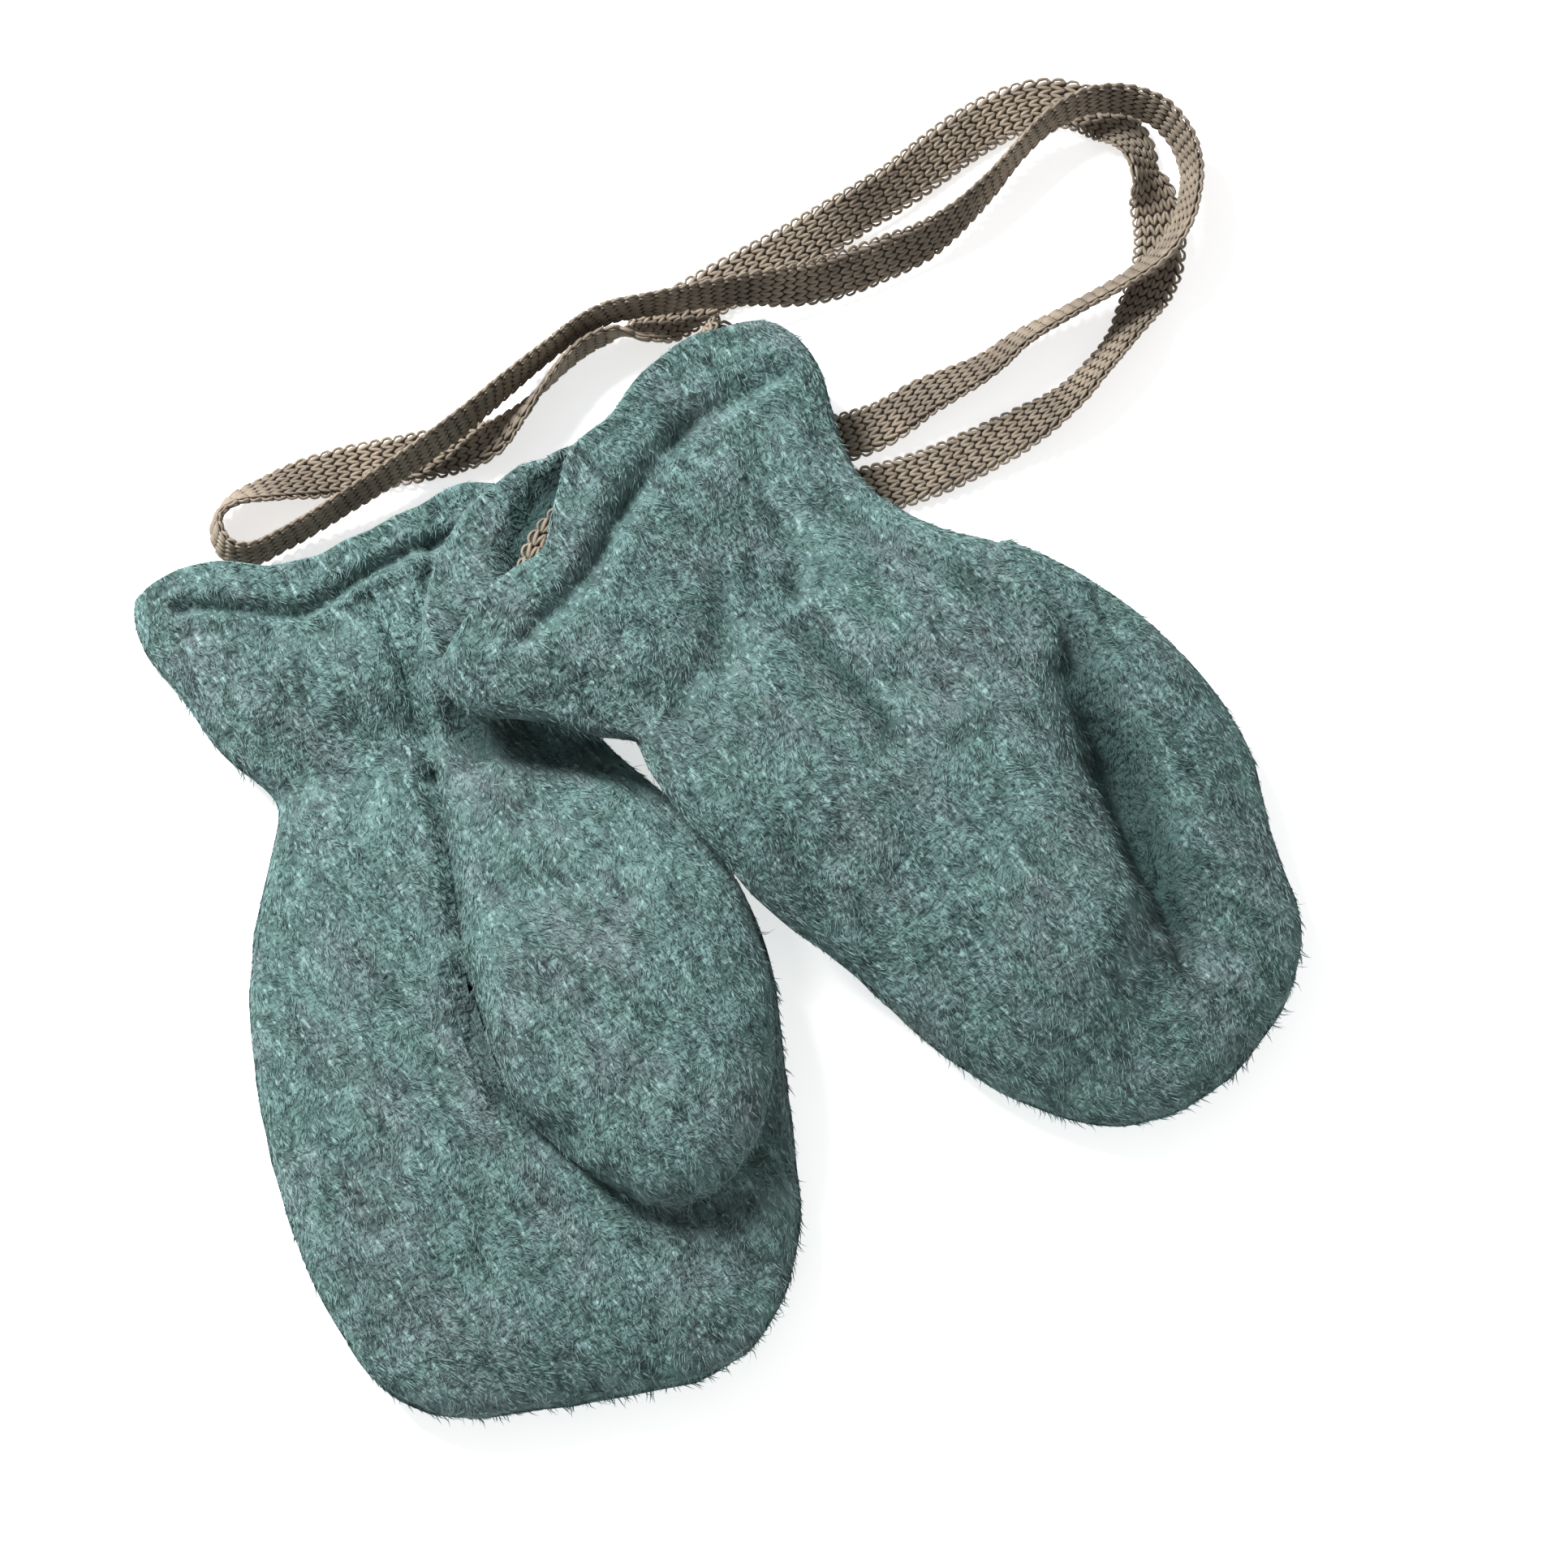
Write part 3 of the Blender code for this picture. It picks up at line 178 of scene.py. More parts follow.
TAPE_STOPS = [  # from the right cuff, over the left end and back, round twice, to the left cuff
    Stop(*row)
    for row in (
        (-37.4, 16.8, 20.4, 4, 1), (-39.0, 24.4, 20.8, 6, 1), (-37.4, 32.6, 21.0, 8, 1), (-32.4, 38.6, 20.6, 8, 1),
        (-26.0, 44.4, 18.8, 6, 1), (-20.8, 52.8, 15.0, 6, 1), (-14.7, 61.1, 11.4, 14, 1), (-13.2, 66.8, 10.0, 8, 1),
        (-13.8, 71.2, 9.8, 0, 1), (-14.2, 74.8, 6.0, -34, 0), (-11.3, 74.8, 3.3, 0, -1), (-6.5, 71.8, 1.8, 0, -1),
        (-3.2, 66.4, 0.9, 0, -1), (-0.8, 61.4, 0.9, 0, -1), (4.0, 58.6, 0.9, 0, -1), (10.0, 59.2, 1.0, 2, -1),
        (16.7, 61.5, 2.0, 14, -1), (23.1, 65.5, 3.0, 26, -1), (32.9, 70.4, 4.2, 44, -1), (39.4, 75.4, 4.8, 56, -1),
        (47.9, 80.2, 5.4, 62, -1), (55.8, 84.5, 6.4, 62, -1), (61.6, 88.5, 7.1, 62, -1), (65.4, 93.5, 7.2, 64, -1),
        (67.3, 99.4, 6.9, 67, -1), (67.7, 105.1, 6.4, 70, -1), (66.2, 110.2, 6.4, 72, -1), (63.1, 114.1, 6.8, 74, -1),
        (58.7, 116.3, 7.2, 78, -1), (53.8, 116.9, 7.2, 80, -1), (49.4, 116.0, 7.1, 82, -1), (45.4, 113.8, 6.8, 84, -1),
        (42.1, 111.3, 5.9, 86, -1), (38.4, 107.3, 5.3, 86, -1), (34.3, 102.2, 5.0, 80, -1), (29.3, 97.0, 4.9, 73, -1),
        (23.3, 92.5, 4.6, 61, -1), (16.8, 89.6, 4.3, 52, -1), (9.0, 86.4, 4.4, 50, -1), (2.4, 84.5, 5.2, 58, -1),
        (-3.8, 83.3, 6.9, 70, -1), (-10.2, 82.3, 7.4, 78, -1), (-16.2, 81.3, 7.4, 83, -1), (-22.4, 79.8, 8.3, 86, -1),
        (-28.8, 78.8, 7.2, 87, -1), (-34.0, 76.6, 5.7, 87, -1), (-39.7, 72.3, 5.0, 87, -1), (-44.8, 67.4, 6.1, 84, -1),
        (-50.2, 62.0, 7.3, 82, -1), (-55.7, 57.4, 7.1, 81, -1), (-61.1, 53.3, 6.8, 81, -1), (-66.4, 49.5, 6.7, 82, -1),
        (-71.9, 46.0, 6.1, 84, -1), (-77.3, 42.7, 5.3, 85, -1), (-82.3, 39.8, 5.0, 85, -1), (-86.6, 37.7, 5.0, 83, -1),
        (-90.3, 38.0, 4.9, 78, -1), (-92.5, 40.8, 4.9, 76, -1), (-92.5, 44.2, 4.8, 74, -1), (-89.5, 47.3, 4.6, 60, -1),
        (-83.6, 49.6, 3.6, 40, -1), (-77.1, 51.9, 2.0, 16, -1), (-70.8, 53.6, 1.15, 2, -1), (-65.0, 54.8, 1.0, 0, -1),
        (-59.6, 55.9, 1.0, 0, -1), (-54.2, 57.1, 1.25, 3, -1), (-48.3, 58.3, 2.9, 28, -1), (-43.9, 61.9, 4.4, 57, -1),
        (-39.8, 66.5, 4.95, 78, -1), (-36.1, 70.9, 5.0, 87, -1), (-32.0, 74.3, 5.0, 88, -1), (-27.9, 76.0, 5.0, 82, -1),
        (-24.3, 76.4, 4.0, 52, -1), (-21.1, 78.2, 2.3, 18, -1), (-18.0, 80.6, 1.3, 2, -1), (-14.4, 83.2, 1.15, 0, -1),
        (-9.7, 86.1, 1.15, 0, -1), (-4.6, 88.7, 1.6, -7, -1), (1.1, 91.7, 2.0, -16, -1), (6.2, 94.6, 3.0, -29, -1),
        (11.9, 98.1, 3.8, -40, -1), (18.1, 102.2, 3.6, -38, -1), (23.7, 106.8, 2.9, -28, -1),
        (30.1, 112.0, 2.4, -20, -1), (36.7, 116.1, 2.0, -14, -1), (43.4, 118.5, 1.3, -4, -1),
        (49.2, 118.0, 1.05, 0, -1), (54.2, 115.4, 1.2, 3, -1), (58.3, 110.5, 3.2, 34, -1), (60.2, 104.9, 4.2, 50, -1),
        (61.6, 100.5, 2.1, 13, -1), (62.6, 95.6, 1.2, 0, -1), (62.3, 90.1, 1.15, 0, -1), (60.3, 84.0, 2.2, -18, -1),
        (56.6, 76.8, 4.1, -48, -1), (51.7, 70.4, 4.2, -52, -1), (45.7, 64.3, 3.6, -40, -1), (36.4, 58.8, 1.9, -14, -1),
        (23.1, 52.6, 1.2, -3, -1), (9.0, 48.8, 0.9, 0, -1), (-1.0, 48.2, 0.9, 0, -1), (-11.0, 48.6, 0.9, 0, -1),
        (-21.0, 49.2, 0.9, 0, -1), (-29.6, 49.2, 1.3, 0, -1), (-36.9, 48.4, 2.9, 0, -1),
    )
]

LEFT_HEM = ((3.0, -26.0), (4.0, -21.0), (7.0, -13.0), (8.5, -7.0), (6.5, 0.0), (5.0, 4.0), (2.5, 13.0), (2.0, 24.0))
RIGHT_HEM = (
    (8.5, 37.0), (5.5, 28.0), (4.0, 19.0), (5.5, 9.0), (6.5, 2.0), (11.0, -10.5), (11.5, -19.0), (10.0, -26.0),
)
LEFT_FOLDS = [
    Fold(LEFT_HEM, 1.7, 1.2, 1.2, 0.5),
    Fold(((8.5, 4.0), (17.0, 6.0), (24.0, 8.0), (32.0, 8.0), (40.0, 7.4)), 1.3, 1.3, 1.4, 0.35),
    Fold(((40.0, 7.4), (48.0, 7.0), (56.0, 7.0), (67.0, 6.2)), 1.9, 1.6, 1.8, 0.4),
    Fold(((74.0, 5.4), (86.0, 4.6), (95.0, 5.6), (101.0, 10.0), (105.0, 15.0)), 2.2, 2.0, 2.4, 0.3),
    Fold(((111.5, 18.6), (118.6, 23.5), (121.2, 31.6), (119.3, 39.8)), 1.1, 1.2, 1.2, 0.2),
    # A wide soft dent on the thumb under the right cuff; its painted shade stands in for the cuff's cast shadow there.
    Fold(((35.0, 14.0), (40.0, 24.0), (43.0, 34.0)), 2.2, 5.0, 5.0),
    Fold(((3.0, 16.0), (9.4, 13.9), (14.6, 11.5)), 0.9, 1.2, 1.4, 0.3),
    Fold(((34.0, -13.0), (38.0, -4.0)), 1.2, 2.2, 2.4),
    Fold(((29.0, -3.0), (35.0, 1.0)), 1.0, 1.8, 2.0),
    Fold(((34.0, -20.0), (38.0, -14.0)), 1.2, 1.8, 2.2),
    Fold(((30.0, 14.0), (38.0, 16.0)), 1.3, 2.2, 2.4),
    Fold(((28.0, 24.0), (36.0, 25.0)), 1.2, 2.2, 2.2),
    Fold(((14.0, -16.0), (24.0, -12.0)), 0.7, 3.0, 3.0),
    Fold(((96.0, -14.0), (112.0, -6.0)), -0.6, 7.0, 7.0),
    Fold(((60.0, -24.0), (88.0, -30.0)), 0.7, 4.0, 6.0),
]
RIGHT_FOLDS = [
    Fold(RIGHT_HEM, 1.2, 1.8, 2.2, 0.4),
    Fold(((8.6, -5.0), (9.8, -8.0)), 1.1, 1.8, 2.2),
    Fold(((6.4, 3.0), (7.4, -0.5)), 1.0, 1.6, 1.8),
    Fold(((3.8, 20.0), (4.2, 15.0)), 1.0, 1.5, 1.8),
    Fold(((26.0, 17.0), (32.0, 15.0), (36.0, 9.0)), 1.5, 2.0, 2.4),
    Fold(((26.0, 3.0), (32.0, -4.0), (37.0, -9.0)), 1.4, 2.0, 2.4),
    Fold(((34.0, -13.0), (36.0, -20.0), (46.0, -21.0)), 1.4, 2.0, 2.4),
    Fold(((30.0, 26.0), (38.0, 24.0)), 1.4, 2.2, 2.4),
    Fold(((41.0, 6.0), (44.5, 5.4), (53.8, 4.6), (61.0, 3.2)), 2.6, 1.8, 4.5),
    Fold(((46.0, 27.0), (54.0, 28.5), (63.0, 29.5)), 1.1, 2.0, 4.0),
    Fold(((77.0, 29.0), (82.7, 25.5), (90.8, 21.5), (103.3, 14.6), (114.0, 8.0)), 3.2, 8.0, 2.7),
    Fold(((91.0, 20.5), (99.0, 16.5), (107.0, 12.0)), 2.2, 7.0, 2.8),
    Fold(((80.0, 14.0), (96.0, 8.0), (108.0, 0.0)), -1.2, 6.0, 9.0),
    Fold(((52.0, -14.0), (60.0, -10.0)), 0.6, 5.0, 5.0),
]
LEFT_CUTS = {
    "back": Cut(104.0, 152.0, 0.82, ()),
    "palm": Cut(100.0, 150.0, 0.74, ("left_back",)),
    "thumb_front": Cut(44.0, 134.0, 0.8, ("left_back", "left_palm")),
    "thumb_rear": Cut(42.0, 58.0, 0.84, ("left_palm",)),
}
RIGHT_CUTS = {
    "back": Cut(98.0, 146.0, 0.84, ("right_palm",)),
    "palm": Cut(96.0, 144.0, 0.74, ("right_thumb_front", "left_back")),
    "thumb_front": Cut(46.0, 126.0, 0.8, ("left_palm",)),
    "thumb_rear": Cut(42.0, 48.0, 0.84, ("right_thumb_front",)),
}


def linear(hex_colour: str) -> tuple:
    """Turn an sRGB hex colour into linear light.

    Args:
        hex_colour: Six hex digits.

    Returns:
        Red, green, blue and 1 as linear numbers.
    """
    parts = [int(hex_colour[place : place + 2], 16) / 255.0 for place in (0, 2, 4)]
    return tuple(p / 12.92 if p <= 0.04045 else ((p + 0.055) / 1.055) ** 2.4 for p in parts) + (1.0,)


def add_node(tree: Tree, kind: str, links: dict | None = None, **settings) -> bpy.types.Node:
    """Add a node with its settings and what feeds it.

    Args:
        tree: The tree that gets the node.
        kind: The node's type name.
        links: For each input, by name or number, a constant or the socket that feeds it.
        **settings: The node's own properties.

    Returns:
        The new node.
    """
    node = tree.nodes.new(kind)
    for name, value in settings.items():
        setattr(node, name, value)
    for name, value in (links or {}).items():
        if isinstance(value, Socket):
            tree.links.new(value, node.inputs[name])
        else:
            node.inputs[name].default_value = value
    return node


def ramp(tree: Tree, factor: Socket, stops: Sequence[tuple]) -> Socket:
    """Turn a number into a colour.

    Args:
        tree: The tree that gets the node.
        factor: The number, from 0 to 1.
        stops: Places and hex colours, lowest first.

    Returns:
        The colour.
    """
    node = add_node(tree, "ShaderNodeValToRGB", {"Fac": factor})
    points = node.color_ramp.elements
    while len(points) < len(stops):
        points.new(0.5)
    for point, (place, colour) in zip(points, stops):
        point.position = place
        point.color = linear(colour)
    return node.outputs["Color"]


def mixed(
    tree: Tree, factor: Socket | float, first: Socket | tuple, second: Socket | tuple, blend: str = "MIX"
) -> Socket:
    """Mix two colours.

    Args:
        tree: The tree that gets the node.
        factor: How much of the second.
        first: The first colour.
        second: The second colour.
        blend: The node's blend type.

    Returns:
        The mixed colour.
    """
    node = add_node(tree, "ShaderNodeMix", {0: factor, 6: first, 7: second}, data_type="RGBA", blend_type=blend)
    return node.outputs[2]


def spots(tree: Tree, place: Socket, size: float, detail: float = 2.0, rough: float = 0.5) -> Socket:
    """Noise whose patches are about so many millimetres wide.

    Args:
        tree: The tree that gets the node.
        place: The coordinates, in metres.
        size: Width of a patch.
        detail: Octaves of noise.
        rough: Weight of the finer octaves.

    Returns:
        The noise, from 0 to 1.
    """
    links = {"Vector": place, "Scale": 1.0 / (size * MM), "Detail": detail, "Roughness": rough}
    return add_node(tree, "ShaderNodeTexNoise", links).outputs["Fac"]


def ranged(tree: Tree, value: Socket, low: float, high: float, to_low: float = 0.0, to_high: float = 1.0) -> Socket:
    """Stretch part of a number's range and clip the rest.

    Args:
        tree: The tree that gets the node.
        value: The number.
        low: What becomes to_low.
        high: What becomes to_high.
        to_low: The result's low end.
        to_high: The result's high end.

    Returns:
        The stretched number.
    """
    links = {"Value": value, "From Min": low, "From Max": high, "To Min": to_low, "To Max": to_high}
    return add_node(tree, "ShaderNodeMapRange", links).outputs["Result"]


def painted(name: str, roughness: float, gloss: float) -> tuple[bpy.types.Material, Tree, bpy.types.Node]:
    """Start a material.

    Args:
        name: Its name.
        roughness: How matt it is, from 0 to 1.
        gloss: How strongly it reflects; 0.5 is usual.

    Returns:
        The material, its tree and its surface's node.
    """
    made = bpy.data.materials.new(name)
    made.use_nodes = True
    surface = made.node_tree.nodes["Principled BSDF"]
    surface.inputs["Roughness"].default_value = roughness
    surface.inputs["Specular IOR Level"].default_value = gloss
    return made, made.node_tree, surface


def embossed(tree: Tree, surface: bpy.types.Node, height: Socket, strength: float, depth: float) -> None:
    """Give a surface a fine relief.

    Args:
        tree: The tree that gets the node.
        surface: The surface's node.
        height: The relief, from 0 to 1.
        strength: How much of it shows.
        depth: How deep it is, in millimetres.
    """
    bump = add_node(tree, "ShaderNodeBump", {"Height": height, "Strength": strength, "Distance": depth * MM})
    tree.links.new(bump.outputs["Normal"], surface.inputs["Normal"])


@dataclass(frozen=True)
class BrushedWool:
    """Boiled wool, brushed: a felted ground of mixed sea-green fibres, with no shine but a soft sheen."""

    heading: float
    deep: str = "2C4341"
    shade: str = "4D6D6C"
    middle: str = "779593"
    light: str = "9CBCBA"
    tip: str = "D0E0DE"
    grey: str = "858D91"
    green: str = "6D8E86"
    gloss: float = 0.2

    def combed(self, tree: Tree, stretch: float) -> Socket:
        """Coordinates that are drawn out along the nap, so that a pattern turns into short strokes.

        Args:
            tree: The tree that gets the nodes.
            stretch: How many times as long as wide a stroke is; below 1 it lies across the nap.

        Returns:
            The coordinates.
        """
        place = add_node(tree, "ShaderNodeTexCoord").outputs["Object"]
        links = {"Vector": place, "Rotation": (0.0, 0.0, math.radians(self.heading)), "Scale": (stretch, 1.0, 1.0)}
        return add_node(tree, "ShaderNodeMapping", links, vector_type="TEXTURE").outputs["Vector"]

    def fold_shade(self, tree: Tree, colour: Socket) -> Socket:
        """Darken the nap with painted shade in deep folds and inside a cuff's mouth, where shade falls.

        Args:
            tree: The tree that gets the nodes.
            colour: The nap's colour without painted shade.

        Returns:
            The colour.
        """
        # Painted shade: the colour goes towards the deep colour as far as the cloth's noted shade says.
        shading = add_node(tree, "ShaderNodeAttribute", attribute_name="fold_shade").outputs["Fac"]
        return mixed(tree, ranged(tree, shading, 0.0, 1.0, 0.0, 0.85), colour, linear(self.deep))

    def patches(self, tree: Tree) -> Socket:
        """Soft patches where grey or green fibres gather, about a centimetre wide.

        Args:
            tree: The tree that gets the nodes.

        Returns:
            The colour.
        """
        place = self.combed(tree, 1.6)
        wide = ranged(tree, spots(tree, place, 14.0, 3.0, 0.6), 0.44, 0.66, 0.0, 0.7)
        narrow = ranged(tree, spots(tree, place, 6.0, 3.0, 0.6), 0.46, 0.68, 0.0, 0.7)
        colour = mixed(tree, wide, linear(self.middle), linear(self.grey))
        colour = mixed(tree, narrow, colour, linear(self.green))
        cloudy = ranged(tree, spots(tree, place, 4.4, 3.0, 0.65), 0.34, 0.66)
        cloud = ramp(tree, cloudy, [(0.0, "9CA2A1"), (0.5, "E0E4E3"), (1.0, "FFFFFF")])
        return mixed(tree, 0.9, colour, cloud, "MULTIPLY")

    def cloth(self) -> bpy.types.Material:
        """The felted ground between the fibres: strokes along the nap, pale wisps and dark pits.

        The strokes are 0.6 to 1.5 mm wide, coarser than real locks of wool, which are about 0.3 mm.

        Returns:
            The material.
        """
        made, tree, surface = painted("brushed_wool_ground", 0.95, self.gloss)
        strokes = self.combed(tree, 3.2)
        across = self.combed(tree, 0.6)
        mottle = ranged(tree, spots(tree, strokes, 1.5, 3.0, 0.55), 0.32, 0.68)
        tone = ramp(tree, mottle, [(0.0, "6E7473"), (0.5, "BCC1C0"), (1.0, "FFFFFF")])
        colour = mixed(tree, 0.7, self.patches(tree), tone, "MULTIPLY")
        wisps = ranged(tree, spots(tree, strokes, 0.7), 0.56, 0.72, 0.0, 0.7)
        colour = mixed(tree, wisps, colour, linear(self.light))
        coarse = spots(tree, across, 1.5)
        pits = ranged(tree, coarse, 0.62, 0.72, 0.0, 0.85)
        # Painted shade in deep folds and inside the cuff's mouth.
        colour = self.fold_shade(tree, mixed(tree, pits, colour, linear(self.deep)))
        tree.links.new(colour, surface.inputs["Base Color"])
        fine = spots(tree, strokes, 0.6, 3.0, 0.6)
        height = add_node(tree, "ShaderNodeMath", {0: fine, 1: coarse}, operation="SUBTRACT").outputs[0]
        embossed(tree, surface, height, 1.0, 0.9)
        return made

    def nap(self) -> bpy.types.Material:
        """The fibres: each has a tone of its own and is paler towards its tip.

        Returns:
            The material.
        """
        made, tree, surface = painted("brushed_wool_nap", 0.85, self.gloss)
        tone = add_node(tree, "ShaderNodeAttribute", attribute_name="tone").outputs["Fac"]
        tones = zip((0.0, 0.25, 0.55, 0.85, 1.0), (self.deep, self.shade, self.middle, self.light, self.tip))
        # Painted shade in deep folds and inside the cuff's mouth.
        colour = self.fold_shade(tree, mixed(tree, 0.62, ramp(tree, tone, list(tones)), self.patches(tree)))
        tree.links.new(colour, surface.inputs["Base Color"])
        surface.inputs["Sheen Weight"].default_value = 0.15
        surface.inputs["Sheen Roughness"].default_value = 0.5
        surface.inputs["Sheen Tint"].default_value = linear(self.tip)
        return made


@dataclass(frozen=True)
class MattYarn:
    """Soft spun cotton yarn, undyed taupe: matt, with finer plies that show as a slight grain."""

    middle: str = "786E62"
    light: str = "918576"
    dark: str = "4E453C"
    # painted shade, seen between the stitches
    stitch_shade: str = "3C332C"

    def yarn(self) -> bpy.types.Material:
        """The yarn that the tape is knitted from.

        Returns:
            The material.
        """
        made, tree, surface = painted("matt_cotton_yarn", 0.85, 0.2)
        place = add_node(tree, "ShaderNodeTexCoord").outputs["Object"]
        patch = ranged(tree, spots(tree, place, 9.0), 0.35, 0.65)
        colour = mixed(tree, patch, linear(self.middle), linear(self.light))
        fleck = ranged(tree, spots(tree, place, 0.7, 2.0, 0.6), 0.5, 0.75, 0.0, 0.5)
        tree.links.new(mixed(tree, fleck, colour, linear(self.dark)), surface.inputs["Base Color"])
        embossed(tree, surface, spots(tree, place, 0.3, 2.0, 0.6), 0.5, 0.15)
        return made

    def ground(self) -> bpy.types.Material:
        """Painted shade for the thin band inside the knitting, which stands in for the shade seen between its stitches.

        Returns:
            The material.
        """
        made, tree, surface = painted("painted_stitch_shade", 0.95, 0.5)
        place = add_node(tree, "ShaderNodeTexCoord").outputs["Object"]
        fleck = ranged(tree, spots(tree, place, 0.6, 2.0, 0.6), 0.4, 0.7)
        tree.links.new(mixed(tree, fleck, linear(self.stitch_shade), linear(self.dark)), surface.inputs["Base Color"])
        return made


def placed(name: str, data: bpy.types.ID) -> Thing:
    """Put a mesh, curve, light or camera into the scene.

    Args:
        name: The object's name.
        data: What it shows.

    Returns:
        The new object, at the origin.
    """
    made = bpy.data.objects.new(name, data)
    bpy.context.scene.collection.objects.link(made)
    return made


def linked(name: str, mesh: bmesh.types.BMesh) -> Thing:
    """Make a smooth-shaded object from a bmesh and free it.

    Args:
        name: The object's name.
        mesh: The bmesh.

    Returns:
        The new object, at the origin.
    """
    data = bpy.data.meshes.new(name)
    mesh.to_mesh(data)
    mesh.free()
    data.shade_smooth()
    return placed(name, data)


def meshed(name: str, places: np.ndarray, triangles: np.ndarray) -> Thing:
    """Make a smooth-shaded object from arrays.

    Args:
        name: The object's name.
        places: The vertices, in metres, one a row.
        triangles: The triangles' vertex numbers, one a row.

    Returns:
        The new object, at the origin.
    """
    data = bpy.data.meshes.new(name)
    data.vertices.add(len(places))
    data.vertices.foreach_set("co", places.astype(np.float32).ravel())
    data.loops.add(triangles.size)
    data.loops.foreach_set("vertex_index", triangles.astype(np.int32).ravel())
    data.polygons.add(len(triangles))
    data.polygons.foreach_set("loop_start", np.arange(0, triangles.size, 3, dtype=np.int32))
    data.update(calc_edges=True)
    data.shade_smooth()
    return placed(name, data)


def evaluated(made: Thing) -> bpy.types.Mesh:
    """The mesh that an object's curve or modifiers come to, as a new mesh."""
    return bpy.data.meshes.new_from_object(made.evaluated_get(bpy.context.evaluated_depsgraph_get()))


def moved(made: Thing, places: np.ndarray) -> None:
    """Move an object's vertices to places in metres, one a row."""
    made.data.vertices.foreach_set("co", places.ravel())
    made.data.update()


def noted(made: Thing, name: str, values: np.ndarray) -> None:
    """Keep one number a vertex under a name that materials can read."""
    made.data.attributes.new(name, "FLOAT", "POINT").data.foreach_set("value", values)


def finished(made: Thing, paint: bpy.types.Material) -> None:
    """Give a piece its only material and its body.

    Args:
        made: The piece.
        paint: The material.
    """
    made.data.materials.clear()
    made.data.materials.append(paint)
    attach(made, "root")


def mesh_arrays(made: Thing) -> tuple[np.ndarray, np.ndarray, np.ndarray]:
    """Read an object's mesh.

    Args:
        made: The object.

    Returns:
        The vertices, their normals, and the triangles' vertex numbers.
    """
    data = made.data
    data.calc_loop_triangles()
    places = np.empty(len(data.vertices) * 3)
    data.vertices.foreach_get("co", places)
    normals = np.empty(len(data.vertices) * 3)
    data.vertices.foreach_get("normal", normals)
    triangles = np.empty(len(data.loop_triangles) * 3, dtype=np.int32)
    data.loop_triangles.foreach_get("vertices", triangles)
    return places.reshape(-1, 3), normals.reshape(-1, 3), triangles.reshape(-1, 3)


def template_arrays(mesh: bmesh.types.BMesh) -> tuple[np.ndarray, np.ndarray]:
    """Triangulate a closed bmesh, turn its faces outward, read it and free it.

    Args:
        mesh: The bmesh.

    Returns:
        The vertices, and the triangles' vertex numbers.
    """
    bmesh.ops.triangulate(mesh, faces=mesh.faces[:])
    bmesh.ops.recalc_face_normals(mesh, faces=mesh.faces[:])
    mesh.verts.index_update()
    places = np.array([vertex.co for vertex in mesh.verts])
    triangles = np.array([[vertex.index for vertex in face.verts] for face in mesh.faces])
    mesh.free()
    return places, triangles


def repeated(triangles: np.ndarray, count: int, step: int) -> np.ndarray:
    """Number the triangles of many copies of a template.

    Args:
        triangles: One copy's triangles.
        count: How many copies there are.
        step: How many vertices a copy has.

    Returns:
        All triangles, one a row.
    """
    return (triangles[None, :, :] + (np.arange(count) * step)[:, None, None]).reshape(-1, 3)


def unit(rows: np.ndarray) -> np.ndarray:
    """Scale each row to length 1."""
    return rows / np.maximum(np.linalg.norm(rows, axis=1, keepdims=True), 1e-12)


def all_walls(pieces: Sequence[Thing]) -> BVHTree:
    """One search tree over several pieces.

    Args:
        pieces: The objects.

    Returns:
        The tree.
    """
    places, triangles = [], []
    total = 0
    for made in pieces:
        points, _, faces = mesh_arrays(made)
        places.append(points)
        triangles.append(faces + total)
        total += len(points)
    return BVHTree.FromPolygons(np.concatenate(places).tolist(), np.concatenate(triangles).tolist())


@dataclass(frozen=True)
class Fibre:
    """One kind of fibre: how long and thick it is, how far it stands up (radians), its curl, tone and rings."""

    kind: Weight
    length: tuple
    radius: float
    stand: tuple
    curl: float
    tone: tuple
    rings: int
    taper: float = 0.35

    def template(self) -> tuple[np.ndarray, np.ndarray]:
        """A thin pointed rod with a few rings, from 0 to 1 along its own axis.

        Returns:
            The vertices and the triangles.
        """
        mesh = bmesh.new()
        bmesh.ops.create_cone(mesh, cap_ends=True, segments=3, radius1=1.0, radius2=0.0, depth=1.0)
        bmesh.ops.translate(mesh, verts=mesh.verts, vec=(0.0, 0.0, 0.5))
        for ring in range(1, self.rings):
            bmesh.ops.bisect_plane(
                mesh,
                geom=mesh.verts[:] + mesh.edges[:] + mesh.faces[:],
                plane_co=(0.0, 0.0, ring / self.rings),
                plane_no=(0.0, 0.0, 1.0),
            )
        bmesh.ops.remove_doubles(mesh, verts=mesh.verts, dist=1e-5)
        places, triangles = template_arrays(mesh)
        rim = np.maximum(np.linalg.norm(places[:, :2], axis=1), 1e-6)
        width = np.where(places[:, 2] > 0.999, 0.0, 1.0 - self.taper * places[:, 2])
        places[:, 0] *= width / rim
        places[:, 1] *= width / rim
        return places, triangles


# Real wool fibres are about 0.03 mm thick. These are drawn coarser, and fewer, so that they can be meshes.
COMBED = Fibre(Weight.COMBED, (1.3, 2.7), 0.11, (0.08, 0.34), 0.45, (0.2, 0.85), 2)
STRAY = Fibre(Weight.STRAY, (1.3, 2.6), 0.06, (0.25, 0.95), 0.9, (0.7, 1.0), 3)


